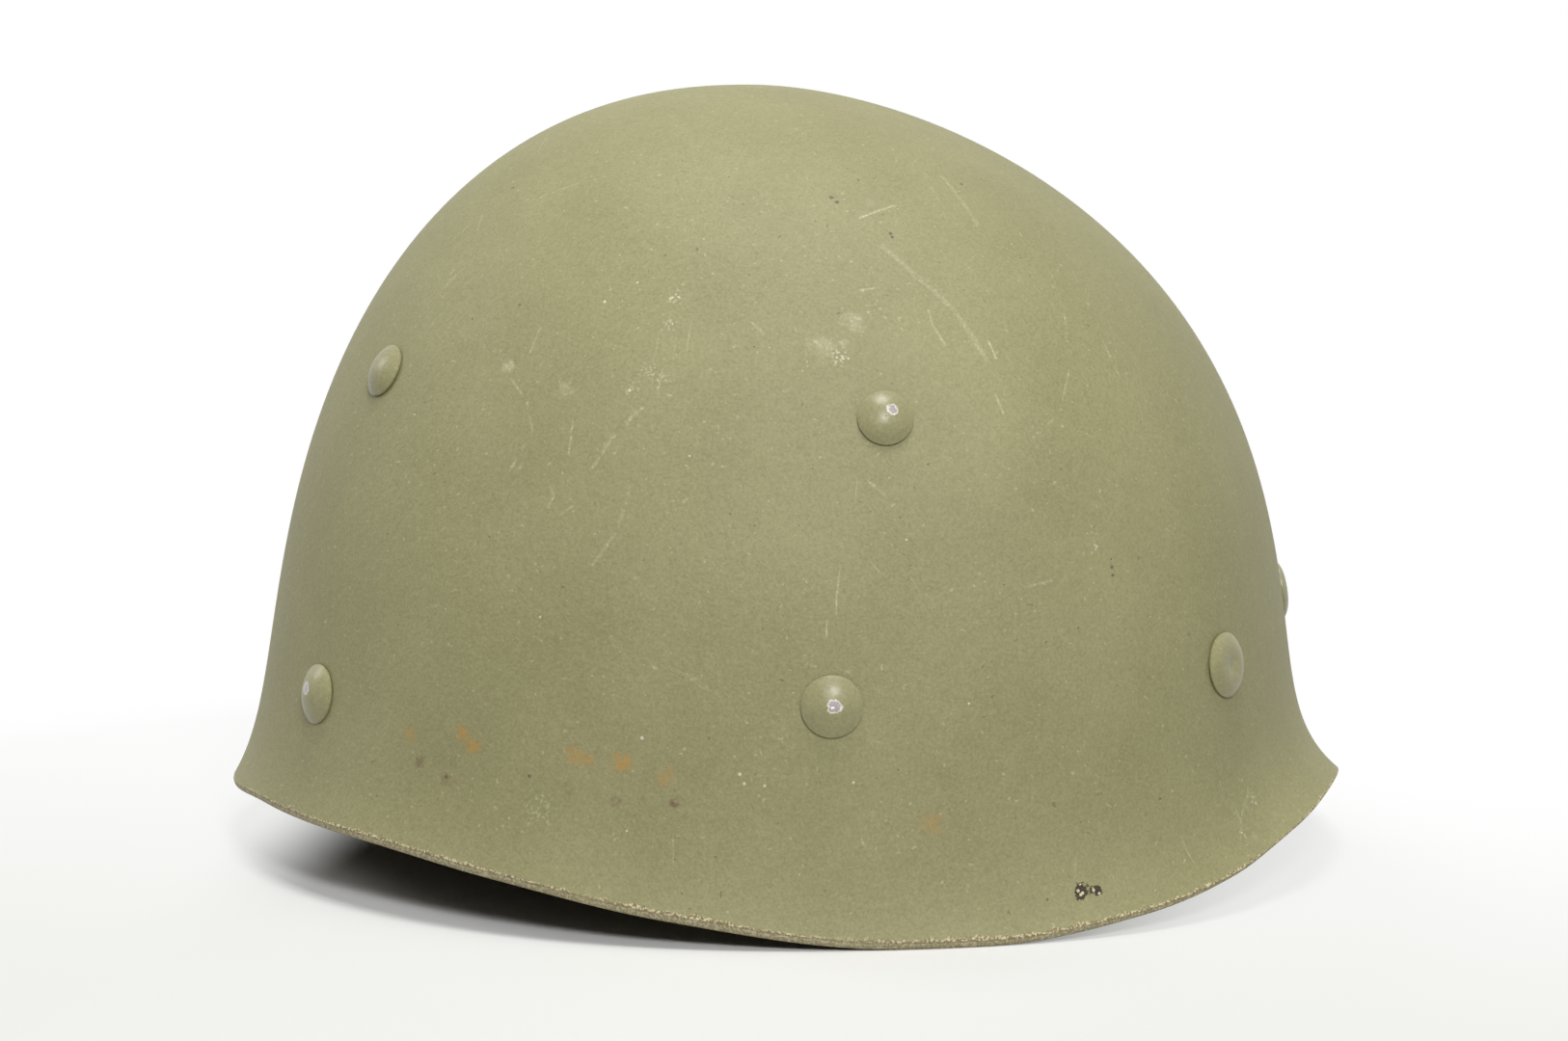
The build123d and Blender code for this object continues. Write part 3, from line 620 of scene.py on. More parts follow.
def spots(n, place, table, ragged, core):
    """Mask of all the spots in a table of (centre, radius, strength), in millimetres."""
    mask = None
    edge = 0.0 if ragged is None else n.fma(ragged, 2.0, -1.0)
    for centre, radius, strength in table:
        values = {
            "Vector": place, "Centre": metres(centre), "Radius": radius * MM, "Core": core,
            "Ragged": edge, "Strength": strength,
        }
        spot = n.group(EFFECTS["spot"], values).outputs["Mask"]
        mask = spot if mask is None else n.math("MAXIMUM", mask, spot)
    return mask


def shell_material(colours):
    made, n, shader = material("olive_paint")
    parts = n.new("ShaderNodeSeparateXYZ", {0: n.place()}).outputs
    place = n.new("ShaderNodeCombineXYZ", {0: parts[0], 1: parts[1], 2: parts[2]}).outputs[0]
    edge = n.new("ShaderNodeAttribute", attribute_name="edge").outputs["Fac"]
    inside = n.new("ShaderNodeAttribute", attribute_name="inside").outputs["Fac"]
    grain = n.group(EFFECTS["grain"], {"Vector": place}).outputs
    colour = n.mix(grain["Tone"], shade(colours.paint_dark, 1.0), shade(colours.paint_light, 1.0))
    colour = n.mix(n.times(grain["Pits"], 0.45), colour, srgb(96, 92, 62))
    pale = srgb(205, 200, 160)
    colour = n.mix(n.times(grain["Specks"], 0.40), colour, pale)

    ragged = n.noise(place, 800.0, 3.0, 0.7)
    soft = n.noise(place, 380.0, 3.0, 0.7)
    breaks = n.noise(place, 300.0, 2.0, 0.6)
    chips = n.ramp(n.noise(place, 1500.0, 1.0, 0.5), 0.57, 0.64)
    worn = n.group(EFFECTS["scratches"], {"Vector": place, "Amount": 0.75}).outputs["Mask"]
    thin = n.fma(ragged, 1.8, 0.1)
    for points, width, gaps, strength in SCRATCHES:
        for start, end in zip(points, points[1:]):
            mark = n.group(
                EFFECTS["line"],
                {
                    "Vector": place, "Start": metres(start), "End": metres(end),
                    "Width": (width * 0.45 + 0.2) * MM,
                    "Ragged": thin, "Breaks": breaks, "Gaps": gaps, "Strength": strength,
                },
            ).outputs["Mask"]
            worn = n.math("MAXIMUM", worn, mark)
    worn = n.math("MAXIMUM", worn, spots(n, place, SOFT_PALE, soft, 0.0))
    worn = n.times(worn, n.fma(chips, 0.55, 0.45))
    colour = n.mix(n.times(worn, 0.95), colour, srgb(208, 205, 170))
    flecks = n.times(spots(n, place, SPECKLED, soft, 0.1), chips)
    flecks = n.math("MAXIMUM", flecks, spots(n, place, [(c, r, 1.0) for c, r in PALE_DOTS], None, 0.5))
    colour = n.mix(n.times(flecks, 0.7), colour, srgb(232, 229, 205))
    speckle = n.ramp(ragged, 0.38, 0.58)
    rust = n.times(spots(n, place, RUST, soft, 0.0), n.fma(speckle, 0.6, 0.4))
    colour = n.mix(rust, colour, srgb(186, 142, 68))
    brown = n.times(spots(n, place, BROWN, soft, 0.0), n.fma(speckle, 0.8, 0.05))
    colour = n.mix(brown, colour, srgb(110, 82, 60))
    dark = spots(n, place, [(c, r, 1.0) for c, r in DARK_CHIPS], ragged, 0.5)
    colour = n.mix(n.times(dark, 0.75), colour, srgb(86, 74, 58))
    holes = spots(n, place, [(c, r, 1.0) for c, r in CLOTH_CHIPS], ragged, 0.7)
    knots = n.new("ShaderNodeTexVoronoi", {"Vector": place, "Scale": 900.0}).outputs["Distance"]
    cloth = n.mix(n.ramp(knots, 0.38, 0.28), srgb(58, 46, 32), srgb(214, 203, 168))
    colour = n.mix(holes, colour, cloth)

    # Cut edge: layers of cloth show where the paint has rubbed off
    edge_noise = n.noise(place, 520.0, 3.0, 0.7)
    stretch = n.ramp(n.noise(place, 28.0, 1.0, 0.5), 0.36, 0.62)
    reach = n.times(n.fma(edge_noise, 3.2, -1.0), n.fma(stretch, 0.65, 0.35))
    bare = n.ramp(n.math("SUBTRACT", edge, reach), 0.35, -0.15)
    patchy = n.ramp(n.noise(place, 90.0, 2.0, 0.6), 0.30, 0.46)
    bare = n.times(bare, n.fma(patchy, 0.75, 0.25))
    threads = n.ramp(n.noise(place, 1700.0, 1.0, 0.5), 0.40, 0.62)
    tan = n.mix(threads, srgb(130, 116, 82), srgb(226, 212, 170))
    colour = n.mix(n.times(bare, 0.85), colour, tan)
    layer = n.new("ShaderNodeAttribute", attribute_name="layer").outputs["Fac"]
    stripe = n.math("SINE", n.times(n.fma(edge_noise, 0.15, layer), 44.0))
    cut = n.mix(n.ramp(stripe, -0.4, 0.6), srgb(140, 129, 96), srgb(190, 179, 142))
    cut = n.mix(n.times(threads, 0.7), cut, srgb(216, 205, 168))
    cut = n.mix(n.times(n.ramp(layer, 0.30, 0.12), 0.55), cut, srgb(98, 88, 62))
    on_cut = n.times(n.ramp(layer, 0.01, 0.06), n.ramp(edge, 0.3, 0.05))
    colour = n.mix(n.times(on_cut, 0.9), colour, cut)
    # Inside of the shell made darker: partly the tone of the bare laminate, partly painted shade that deepens
    # the shadow under the rim
    colour = n.mix(n.times(inside, 0.75), colour, srgb(88, 84, 56))

    height = n.fma(grain["Pits"], -0.9, grain["Height"])
    height = n.fma(holes, -3.0, height)
    height = n.fma(n.times(bare, threads), 0.8, height)
    bump = n.bump(height, 0.75, 0.00022)
    rough = n.fma(grain["Tone"], 0.08, 0.56)
    rough = n.fma(worn, -0.06, rough)
    set_shader(n, shader, colour=colour, rough=rough, normal=bump, specular=0.42)
    return made


# Bare spots on rivet heads, and on the side and nape rivets a painted highlight too: angle and height of the
# rivet, how far out, back and up, radius
WORN_SPOTS_AND_HIGHLIGHTS = (
    (*SUSPENSION["side"], 2.6, (1.4, 1.2), 1.5),
    (*CHIN_STUD, 2.7, (0.5, 0.1), 1.8),
    (*NAPE, 2.6, (-1.2, 1.0), 1.6),
)


def rivet_material(colours):
    made, n, shader = material("rivet_paint")
    place = n.place()
    grain = n.group(EFFECTS["grain"], {"Vector": place}).outputs
    colour = n.mix(grain["Tone"], shade(colours.paint_dark, 1.0), shade(colours.paint_light, 1.0))
    colour = n.mix(n.times(grain["Pits"], 0.4), colour, srgb(96, 92, 62))
    colour = n.mix(n.times(grain["Specks"], 0.3), colour, srgb(205, 200, 160))
    parts = n.new("ShaderNodeSeparateXYZ", {0: place}).outputs
    one_side = n.math("ABSOLUTE", parts[1])
    folded = n.new("ShaderNodeCombineXYZ", {0: parts[0], 1: one_side, 2: parts[2]}).outputs[0]
    bare = None
    uneven = n.fma(n.noise(place, 1100.0, 3.0, 0.7), 1.5, -0.75)
    for angle, z, out, along, radius in WORN_SPOTS_AND_HIGHLIGHTS:
        origin, level, upward, outward = skin_frame(angle, z)
        centre = origin + outward * out - level * along[0] + upward * along[1]
        spot = n.group(
            EFFECTS["spot"],
            {
                "Vector": folded, "Centre": metres(centre), "Radius": radius * MM,
                "Core": 0.55, "Ragged": uneven,
            },
        ).outputs["Mask"]
        bare = spot if bare is None else n.math("MAXIMUM", bare, spot)
    # Near-white rim and grey core of each spot: worn bare metal, and on the side and nape rivets also a
    # painted highlight where the lamp's glint falls
    colour = n.mix(n.ramp(bare, 0.05, 0.45), colour, srgb(236, 233, 220))
    colour = n.mix(n.ramp(bare, 0.72, 0.98), colour, srgb(176, 168, 168))
    height = n.fma(bare, -0.6, grain["Height"])
    bump = n.bump(height, 0.25, 0.0002)
    set_shader(
        n, shader, colour=colour, rough=n.fma(bare, -0.08, 0.34),
        metal=n.times(n.ramp(bare, 0.5, 0.9), 0.5), normal=bump, specular=0.5,
    )
    return made


def metal_material(name, dark, rubbed, amount):
    """Lacquered sheet metal, rubbed bright in patches."""
    made, n, shader = material(name)
    place = n.place()
    mottle = n.noise(place, 240.0, 4.0, 0.65)
    bare = n.ramp(mottle, 0.62 - amount, 0.74 - amount)
    fine = n.noise(place, 1800.0, 2.0, 0.5)
    colour = n.mix(fine, dark, shade(dark, 1.5))
    colour = n.mix(bare, colour, rubbed)
    bump = n.bump(n.math("ADD", fine, mottle), 0.2, 0.0001)
    set_shader(n, shader, colour=colour, metal=n.times(bare, 0.9), rough=n.fma(bare, -0.14, 0.5), normal=bump)
    return made


def web_material(name, dark, light, thread, chevron, soil=0.25):
    made, n, shader = material(name)
    cloth = n.new("ShaderNodeUVMap", uv_map="cloth").outputs[0]
    place = n.place()
    weave = n.group(EFFECTS["weave"], {"Vector": cloth, "Thread": thread, "Chevron": chevron}).outputs
    colour = n.mix(weave["Tone"], dark, light)
    stain = n.ramp(n.noise(place, 45.0, 3.0, 0.6), 0.48, 0.75)
    colour = n.mix(n.times(stain, soil), colour, srgb(92, 80, 54))
    bump = n.bump(weave["Height"], 0.7, 0.00035)
    set_shader(n, shader, colour=colour, rough=0.92, normal=bump, sheen=0.12, specular=0.25)
    return made


def leather_material(colours):
    made, n, shader = material("band_leather")
    place = n.place()
    cells = n.new("ShaderNodeTexVoronoi", {"Vector": place, "Scale": 620.0}, feature="DISTANCE_TO_EDGE")
    creases = n.ramp(cells.outputs["Distance"], 0.0, 0.12)
    broad = n.noise(place, 30.0, 3.0, 0.6)
    colour = n.mix(broad, shade(colours.leather, 0.62), shade(colours.leather, 1.25))
    colour = n.mix(n.times(n.math("SUBTRACT", 1.0, creases), 0.35), colour, srgb(70, 42, 22))
    bump = n.bump(creases, 0.35, 0.0002)
    set_shader(n, shader, colour=colour, rough=n.fma(broad, 0.2, 0.4), normal=bump, specular=0.45)
    return made


def thread_material():
    made, n, shader = material("sewing_thread")
    place = n.place()
    twist = n.noise(place, 4000.0, 1.0)
    set_shader(n, shader, colour=n.mix(twist, srgb(150, 140, 104), srgb(196, 186, 148)), rough=0.85)
    return made


MATERIALS = {}


# ---- Settings


class LinerColours(bpy.types.PropertyGroup):
    paint_light: bpy.props.FloatVectorProperty(
        name="Light paint", description="Lighter tone of the olive paint, linear", subtype="COLOR", size=3,
        default=srgb(169, 165, 123)[:3], min=0, max=1,
    )
    paint_dark: bpy.props.FloatVectorProperty(
        name="Dark paint", description="Darker tone of the olive paint, linear", subtype="COLOR", size=3,
        default=srgb(132, 128, 88)[:3], min=0, max=1,
    )
    webbing: bpy.props.FloatVectorProperty(
        name="Webbing", description="Tone of the cotton webbing, linear", subtype="COLOR", size=3,
        default=srgb(158, 146, 108)[:3], min=0, max=1,
    )
    leather: bpy.props.FloatVectorProperty(
        name="Leather", description="Tone of the sweatband's leather, linear", subtype="COLOR", size=3,
        default=srgb(150, 104, 62)[:3], min=0, max=1,
    )
    floor: bpy.props.FloatVectorProperty(
        name="Floor", description="Colour of the floor, linear", subtype="COLOR", size=3,
        default=(0.80, 0.80, 0.785), min=0, max=1,
    )


class LinerSizes(bpy.types.PropertyGroup):
    turns: bpy.props.IntProperty(
        name="Columns", description="Columns of faces round the dome", default=240, min=48, max=480
    )
    edge_lift: bpy.props.FloatProperty(
        name="Edge slant",
        description="How much higher the outer corner of the cut rim lies than its flat face, in millimetres",
        default=1.8, min=0.0, max=3.0,
    )
    edge_share: bpy.props.FloatProperty(
        name="Edge share", description="Share of the wall that the slanted face of the rim takes up",
        default=0.35, min=0.1, max=0.9, subtype="FACTOR",
    )
    web_thickness: bpy.props.FloatProperty(
        name="Webbing thickness", description="Thickness of the webbing, in millimetres",
        default=WEB, min=0.5, max=2.0,
    )
    lens: bpy.props.FloatProperty(
        name="Lens", description="Focal length of the camera, in millimetres", default=119.25, min=35, max=300
    )


# ---- Operators


class LINER_OT_stage(bpy.types.Operator):
    """Lays the floor and sets the lights and the camera"""

    bl_idname = "liner.stage"
    bl_label = "Stage"

    def execute(self, context):
        colours, sizes = context.scene.liner_colours, context.scene.liner_sizes
        deselect()
        bpy.ops.mesh.primitive_plane_add(size=24.0, location=(0.0, 0.0, 0.0))
        floor = context.object
        floor.name = "floor"
        bpy.ops.object.transform_apply(location=True, rotation=True, scale=True)
        made, n, shader = material("pale_floor")
        seen = seen_rays(n)
        place = n.place()
        mottle = n.noise(place, 6.0, 2.0)
        near = n.mix(mottle, shade(colours.floor, 0.985), shade(colours.floor, 1.015))
        set_shader(n, shader, colour=n.mix(seen, shade(colours.floor, 0.72), near), rough=0.9, specular=0.1)
        parts = n.new("ShaderNodeSeparateXYZ", {0: place}).outputs
        middle = n.new("ShaderNodeVectorMath", {0: place, 1: SHADOW_MIDDLE}, operation="SUBTRACT").outputs[0]
        away = n.new("ShaderNodeVectorMath", {0: middle}, operation="LENGTH").outputs["Value"]
        # Beside the object too, right of x 0.045 m and left of x -0.088 m, camera rays see white glow:
        # painted light over the object's shadow there
        clear = n.math("MAXIMUM", n.ramp(away, 0.09, 0.24), n.times(n.ramp(parts[0], 0.045, 0.12), 0.8))
        clear = n.math("MAXIMUM", clear, n.times(n.ramp(parts[0], -0.088, -0.125), 0.85))
        white = n.mix(n.ramp(parts[1], -0.20, 0.10), srgb(241, 242, 237), (1.0, 1.0, 1.0, 1.0))
        glow = n.new("ShaderNodeEmission", {"Color": white, "Strength": 1.0})
        share = n.times(seen, clear)
        blend = n.new("ShaderNodeMixShader", {0: share, 1: shader.outputs[0], 2: glow.outputs[0]})
        ground = next(node for node in made.node_tree.nodes if node.type == "OUTPUT_MATERIAL")
        made.node_tree.links.new(blend.outputs[0], ground.inputs[0])
        floor.data.materials.append(made)

        world = context.scene.world or bpy.data.worlds.new("studio")
        context.scene.world = world
        world.use_nodes = True
        world.node_tree.nodes.clear()
        n = Nodes(world.node_tree)
        seen = seen_rays(n)
        way = n.new("ShaderNodeSeparateXYZ", {0: n.new("ShaderNodeTexCoord").outputs["Generated"]}).outputs[2]
        sky = n.fma(n.ramp(way, 0.2, 0.9), 0.26, 0.03)
        strength = n.math("MAXIMUM", seen, sky)
        back = n.new("ShaderNodeBackground", {"Color": (1.0, 1.0, 1.0, 1.0), "Strength": strength})
        out = n.new("ShaderNodeOutputWorld")
        world.node_tree.links.new(back.outputs[0], out.inputs[0])

        for name, spot, size, power in LAMPS:
            light = bpy.data.lights.new(name, "AREA")
            light.shape, light.size, light.energy = "SQUARE", size, power
            lamp = bpy.data.objects.new(name, light)
            context.scene.collection.objects.link(lamp)
            lamp.location = spot
            lamp.rotation_euler = (Vector(LAMPS_AIM) - Vector(spot)).to_track_quat("-Z", "Y").to_euler()

        camera_data = bpy.data.cameras.new("camera")
        camera_data.lens, camera_data.sensor_width, camera_data.sensor_fit = sizes.lens, 36.0, "HORIZONTAL"
        camera_data.clip_end = 60.0
        camera = bpy.data.objects.new("camera", camera_data)
        context.scene.collection.objects.link(camera)
        middle = Vector((DOME_X, 0.0, 0.0))
        eye, aim = (middle + Vector(CAMERA_EYE)) * MM, (middle + Vector(CAMERA_AIM)) * MM
        camera.location = eye
        camera.rotation_euler = (aim - eye).to_track_quat("-Z", "Y").to_euler()
        context.scene.camera = camera
        context.scene.view_settings.view_transform = "Standard"
        return {"FINISHED"}


class LINER_OT_shell(bpy.types.Operator):
    """Makes the painted laminate shell with its slanted cut edge"""

    bl_idname = "liner.shell"
    bl_label = "Shell"

    def execute(self, context):
        sizes = context.scene.liner_sizes
        turns = sizes.turns
        low_rows, dome_rows, low_height = 26, 62, 30.0

        def column(angle, inset, rim, raised):
            top = CROWN - inset
            rows = [rim + low_height * (i / low_rows) ** 1.35 for i in range(low_rows)]
            first = math.asin((rim + low_height) / top)
            for i in range(dome_rows):
                rows.append(top * math.sin(first + (math.pi / 2 - first) * i / dome_rows))
            return [skin(angle, z, inset, raised) for z in rows]

        outer, inner, feet = [], [], []
        for k in range(turns):
            angle = 360.0 * k / turns
            rim = 0.0
            for _ in range(12):
                rim = rim_height(skin(angle, rim).x - DOME_X)
            lift = sizes.edge_lift * towards(angle, 0.25, 0.6, 1.0)
            outer.append(column(angle, 0.0, rim + lift, lift / 2))
            inner.append(column(angle, WALL, rim, lift / 2))
            feet.append(skin(angle, rim, WALL * sizes.edge_share, lift / 2))
        rows = low_rows + dome_rows
        points, edge, inside, layer = [], [], [], []
        for side, columns in enumerate((outer, inner)):
            for line in columns:
                run = 0.0
                for i, p in enumerate(line):
                    if i:
                        run += (p - line[i - 1]).length
                    points.append(p)
                    edge.append(run)
                    inside.append(float(side))
                    layer.append(float(side) if i == 0 else (0.0 if side == 0 else 1.0))
            points.append(Vector((DOME_X, 0.0, CROWN - (WALL if side else 0.0))))
            edge.append(200.0)
            inside.append(float(side))
            layer.append(float(side))
        points += feet
        edge += [0.0] * turns
        inside += [0.5] * turns
        layer += [1.0] * turns
        block = turns * rows + 1
        faces = []
        for side in (0, 1):
            base = side * block
            for k in range(turns):
                a, b = base + k * rows, base + ((k + 1) % turns) * rows
                for i in range(rows - 1):
                    quad = (a + i, b + i, b + i + 1, a + i + 1)
                    faces.append(quad if side == 0 else quad[::-1])
                cap = (a + rows - 1, b + rows - 1, base + block - 1)
                faces.append(cap if side == 0 else cap[::-1])
        for k in range(turns):
            a, b = k * rows, ((k + 1) % turns) * rows
            foot, after = 2 * block + k, 2 * block + (k + 1) % turns
            faces += [(b, a, foot, after), (after, foot, block + a, block + b)]
        shell = mesh_piece("liner_shell", points, faces, {"edge": edge, "inside": inside, "layer": layer})
        soften(shell, 0.45, 3, 40)
        finish_piece(shell, MATERIALS["shell"], nodes=("shell",), angle=60)
        return {"FINISHED"}


def coat(node, kind):
    """Gives a CAD node its material."""
    node.data.materials.clear()
    node.data.materials.append(MATERIALS[kind])


class LINER_OT_rivets(bpy.types.Operator):
    """Paints the rivets and the chin strap studs, with bare metal where they are worn and a painted highlight
    on the side and nape rivets
    """

    bl_idname = "liner.rivets"
    bl_label = "Rivets and studs"

    def execute(self, context):
        for name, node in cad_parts.items():
            if name.startswith(("rivet_", "chin_stud_")):
                coat(node, "rivet")
        return {"FINISHED"}


class LINER_OT_fittings(bpy.types.Operator):
    """Gives the washers, clips, pins and buckles their lacquered metal"""

    bl_idname = "liner.fittings"
    bl_label = "Washers, clips and buckles"

    def execute(self, context):
        for name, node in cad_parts.items():
            if "washer" in name:
                coat(node, "plate")
            elif name.startswith("clip_") or "buckle" in name:
                coat(node, "clip")
        return {"FINISHED"}


CROWN_CENTRE = Vector((DOME_X + CENTRE_SHIFT, 0.0, 0.0))


def ring_sizes():
    front = skin(0, RING_Z, WALL).x - RING_GAPS[0]
    rear = skin(180, RING_Z, WALL).x + RING_GAPS[1]
    middle, half_length = (front + rear) / 2, (front - rear) / 2
    widths = []
    for angle in (60, 75, 90, 105, 120):
        inside = skin(angle, RING_Z, WALL)
        widths.append((inside.y - RING_GAPS[2]) / math.sqrt(1 - ((inside.x - middle) / half_length) ** 2))
    return middle, half_length, min(widths)


def oval(x, half_length, half_width, z, count, first=0.0, last=360.0):
    closed = abs(last - first) >= 360
    steps = count if closed else count - 1
    turns = [math.radians(first + (last - first) * i / steps) for i in range(count)]
    return [Vector((x + half_length * math.cos(t), half_width * math.sin(t), z)) for t in turns]


def web_run(centre, angle, z):
    """A web at its rivet: seat, directions there, the way it runs, how far its slanted edge stands out."""
    origin, level, upward, outward = skin_frame(angle, z)
    way = Vector((origin.x - centre.x, origin.y, 0.0)).normalized()
    across = Vector((-way.y, way.x, 0.0))
    if across.dot(level) < 0:
        across = -across
    level_out = Vector((outward.x, outward.y, 0.0)).normalized()
    slant = WEB_WIDTH / 2 * math.sqrt(max(0.0, 1 - level_out.dot(way) ** 2))
    return origin - outward * (WALL + WEB_GAP + WEB / 2), level, upward, outward, way, across, slant


def arm_line(angle, z, layer, tail):
    """Points of one crown arm from its lower end to the crown, and its width direction at each."""
    seat, level, upward, outward, way, across, slant = web_run(CROWN_CENTRE, angle, z)
    drawn_in = outward * slant
    points = [seat + upward * h for h in (-TAIL_BEND if tail else -ARM_END, -FLAT, 0.0, FLAT, 2 * FLAT)]
    points[-1] -= drawn_in
    sides = [level, level, level, level, level.lerp(across, 0.6)]
    if tail:
        x, half_length, half_width = ring_sizes()
        reach = 60.0
        shift = CROWN_CENTRE.x - x
        while ((shift + way.x * reach) / half_length) ** 2 + (way.y * reach / half_width) ** 2 < 1:
            reach += 0.05
        foot = CROWN_CENTRE + way * reach
        normal = Vector(((foot.x - x) / half_length**2, foot.y / half_width**2, 0)).normalized()
        lap_side = Vector((-normal.y, normal.x, 0.0))
        if lap_side.dot(level) < 0:
            lap_side = -lap_side
        foot += normal * (SEAM_GAP + WEB / 2)
        points[0] -= drawn_in
        sides[0] = level.lerp(across, 0.6)
        points = [Vector((foot.x, foot.y, RING_Z + h)) for h in RING_LAP] + points
        sides = [lap_side] * 4 + sides
    top = points[-1]
    top_z = CROWN - WALL - CROWN_CLEARANCE + layer * LAYER
    start = Vector((top.x - CROWN_CENTRE.x, top.y, 0)).length
    for out, up in ((0.64, 0.72), (0.28, 1.0)) if tail else ((0.86, 0.47), (0.58, 0.80), (0.28, 1.0)):
        points.append(CROWN_CENTRE + way * (start * out) + Vector((0, 0, top.z + (top_z - top.z) * up)))
        sides.append(across)
    points.append(CROWN_CENTRE + Vector((0, 0, top_z)))
    sides.append(across)
    return points, sides


class LINER_OT_crown_straps(bpy.types.Operator):
    """Makes the three woven crown straps that cross under the crown"""

    bl_idname = "liner.crown_straps"
    bl_label = "Crown straps"

    def execute(self, context):
        thick = context.scene.liner_sizes.web_thickness
        for name, ends, layer in (
            ("transverse", (("side", 1), ("side", -1)), 0),
            ("diagonal_a", (("front", 1), ("rear", -1)), 1.0),
            ("diagonal_b", (("front", -1), ("rear", 1)), 2),
        ):
            halves = []
            for kind, side in ends:
                angle, z = LEFT_FRONT if (kind, side) == ("front", 1) else SUSPENSION[kind]
                points, sides = arm_line(side * angle, z, layer, kind != "front")
                halves.append((points, sides))
            first, second = halves
            points = first[0] + second[0][-2::-1]
            sides = list(first[1])
            for value in second[1][-2::-1]:
                sides.append(value if value.dot(sides[-1]) > 0 else -value)
            for i in range(1, len(sides)):
                if sides[i].dot(sides[i - 1]) < 0:
                    sides[i] = -sides[i]
            line, across = blended(points, sides, 2.5)
            strap = ribbon(f"web_{name}", line, across, WEB_WIDTH, thick)
            finish_piece(strap, MATERIALS["web"], nodes=(f"crown_strap_{name}",))
        return {"FINISHED"}


class LINER_OT_support_ring(bpy.types.Operator):
    """Makes the level webbing ring that carries the sweatband"""

    bl_idname = "liner.support_ring"
    bl_label = "Support ring"

    def execute(self, context):
        thick = context.scene.liner_sizes.web_thickness
        x, half_length, half_width = ring_sizes()
        line = oval(x, half_length - WEB / 2, half_width - WEB / 2, RING_Z, 220)
        ring = ribbon("web_ring", line, UP, RING_WIDTH, thick, closed=True)
        finish_piece(ring, MATERIALS["web"], nodes=("support_web_ring",))
        return {"FINISHED"}


class LINER_OT_nape_strap(bpy.types.Operator):
    """Makes the nape strap and the three webs that carry it"""

    bl_idname = "liner.nape_strap"
    bl_label = "Nape strap"

    def execute(self, context):
        thick = context.scene.liner_sizes.web_thickness
        middle_z = NAPE_LOW + NAPE_WIDTH / 2
        shell_rear = DOME_X - skin(180, middle_z, WALL).x
        shell_side = skin(90, middle_z, WALL).y
        circle = shell_side**2 / shell_rear
        centre = Vector((DOME_X - shell_rear + circle, 0.0, 0.0))
        radius = circle - NAPE_GAP
        side_web = skin(*NAPE) - centre
        half_turn = math.pi - math.atan2(side_web.y, side_web.x) + (WEB_WIDTH / 2 + NAPE_OVERHANG) / radius
        turns = [math.pi - half_turn + half_turn * i / 35 for i in range(71)]
        reach = radius - WEB / 2
        line = [centre + Vector((reach * math.cos(t), reach * math.sin(t), middle_z)) for t in turns]
        band = ribbon("nape_tape", line, UP, NAPE_WIDTH, thick)
        finish_piece(band, MATERIALS["web"], nodes=("nape_band",))
        for name, angle in (("left", NAPE[0]), ("right", -NAPE[0]), ("centre", 180.0)):
            seat, level, upward, outward, way, across, slant = web_run(centre, angle, NAPE[1])
            lap = centre + way * (radius + SEAM_GAP + WEB / 2)
            low = [Vector((lap.x, lap.y, NAPE_LOW + h)) for h in NAPE_LAP]
            points = low + [seat + upward * h for h in (-FLAT, 0.0, WEB_TOP)]
            line, sides = blended(points, [across] * 3 + [level] * 3, 2.0)
            web = ribbon(f"nape_web_{name}", line, sides, WEB_WIDTH, thick)
            finish_piece(web, MATERIALS["web"], nodes=(f"web_nape_{name}",))
        return {"FINISHED"}


class LINER_OT_sweatband(bpy.types.Operator):
    """Makes the sweatband: cloth backing, leather face and its stitching"""

    bl_idname = "liner.sweatband"
    bl_label = "Sweatband"

    def execute(self, context):
        x, half_length, half_width = ring_sizes()
        long, wide = half_length - WEB - BAND_GAP, half_width - WEB - BAND_GAP
        middle = BACKING_LOW + BACKING_WIDTH / 2
        line = oval(x, long - BACKING / 2, wide - BACKING / 2, middle, 200)
        backing = ribbon("band_tape", line, UP, BACKING_WIDTH, BACKING * 0.92, closed=True, columns=9)
        finish_piece(backing, MATERIALS["tape"], nodes=("sweatband_backing",))

        long, wide = long - BACKING - GLUE, wide - BACKING - GLUE
        inner = 180.0 - LEATHER_OPENING - HEM
        middle = LEATHER_LOW + LEATHER_HEIGHT / 2
        line = oval(x, long - LEATHER / 2, wide - LEATHER / 2, middle, 200, -inner, inner)
        leather = ribbon("band_leather_face", line, UP, LEATHER_HEIGHT, LEATHER, columns=13, bevel=0.55)
        finish_piece(leather, MATERIALS["leather"], nodes=("sweatband_leather",))
        rows = []
        for z in (LEATHER_LOW + LEATHER_HEIGHT - SEW_ROW, LEATHER_LOW + SEW_ROW):
            line = oval(x, long - LEATHER, wide - LEATHER, z, 200, SEW_END - inner, inner - SEW_END)
            normals = [-Vector(((p.x - x) / long**2, p.y / wide**2, 0)).normalized() for p in line]
            rows.append(stitches("band_stitches", line, normals))
        sewn = join("band_stitching", rows)
        finish_piece(sewn, MATERIALS["thread"], angle=80)
        return {"FINISHED"}


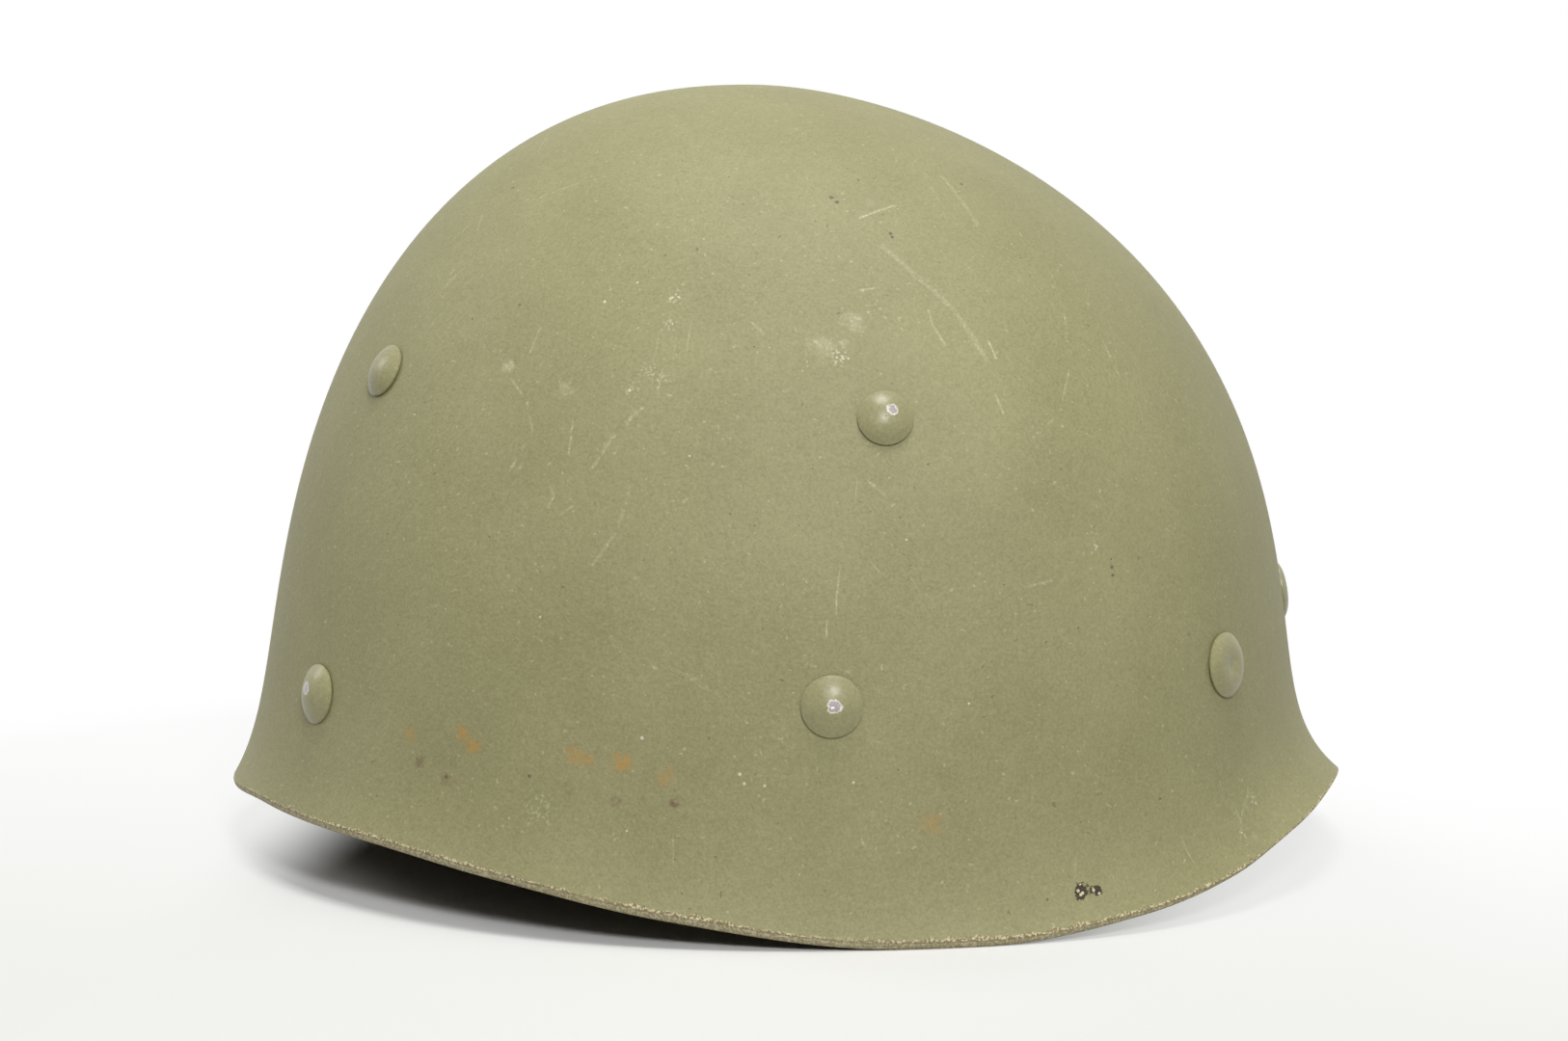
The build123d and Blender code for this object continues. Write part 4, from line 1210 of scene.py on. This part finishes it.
class LINER_PT_panel(bpy.types.Panel):
    """Lists the liner's settings and pieces"""

    bl_label = "Helmet liner"
    bl_idname = "LINER_PT_panel"
    bl_space_type = "VIEW_3D"
    bl_region_type = "UI"
    bl_category = "Liner"

    def draw(self, context):
        layout = self.layout
        for settings in (context.scene.liner_colours, context.scene.liner_sizes):
            box = layout.box()
            for key in settings.__annotations__:
                box.prop(settings, key)
        for operator in OPERATORS:
            layout.operator(operator.bl_idname)


OPERATORS = (
    LINER_OT_stage, LINER_OT_shell, LINER_OT_rivets, LINER_OT_fittings, LINER_OT_crown_straps,
    LINER_OT_support_ring, LINER_OT_nape_strap, LINER_OT_sweatband,
)
CLASSES = (LinerColours, LinerSizes, *OPERATORS, LINER_PT_panel)


def register():
    for cls in CLASSES:
        bpy.utils.register_class(cls)
    bpy.types.Scene.liner_colours = bpy.props.PointerProperty(type=LinerColours)
    bpy.types.Scene.liner_sizes = bpy.props.PointerProperty(type=LinerSizes)


def unregister():
    del bpy.types.Scene.liner_sizes
    del bpy.types.Scene.liner_colours
    for cls in reversed(CLASSES):
        bpy.utils.unregister_class(cls)


def make_materials(colours):
    make_effects()
    web = colours.webbing
    MATERIALS["shell"] = shell_material(colours)
    MATERIALS["rivet"] = rivet_material(colours)
    MATERIALS["plate"] = metal_material("plate_metal", srgb(74, 74, 56), srgb(150, 146, 128), 0.02)
    MATERIALS["clip"] = metal_material("clip_metal", srgb(52, 50, 42), srgb(168, 152, 112), 0.06)
    MATERIALS["web"] = web_material("cotton_webbing", shade(web, 0.62), shade(web, 1.18), 0.0008, 4.0)
    MATERIALS["tape"] = web_material("band_tape", srgb(112, 104, 74), srgb(160, 150, 112), 0.0006, 1.0, 0.15)
    MATERIALS["leather"] = leather_material(colours)
    MATERIALS["thread"] = thread_material()


def main():
    register()
    make_materials(bpy.context.scene.liner_colours)
    for operator in OPERATORS:
        group, name = operator.bl_idname.split(".")
        getattr(getattr(bpy.ops, group), name)()
    deselect()


if __name__ == "__main__":
    main()
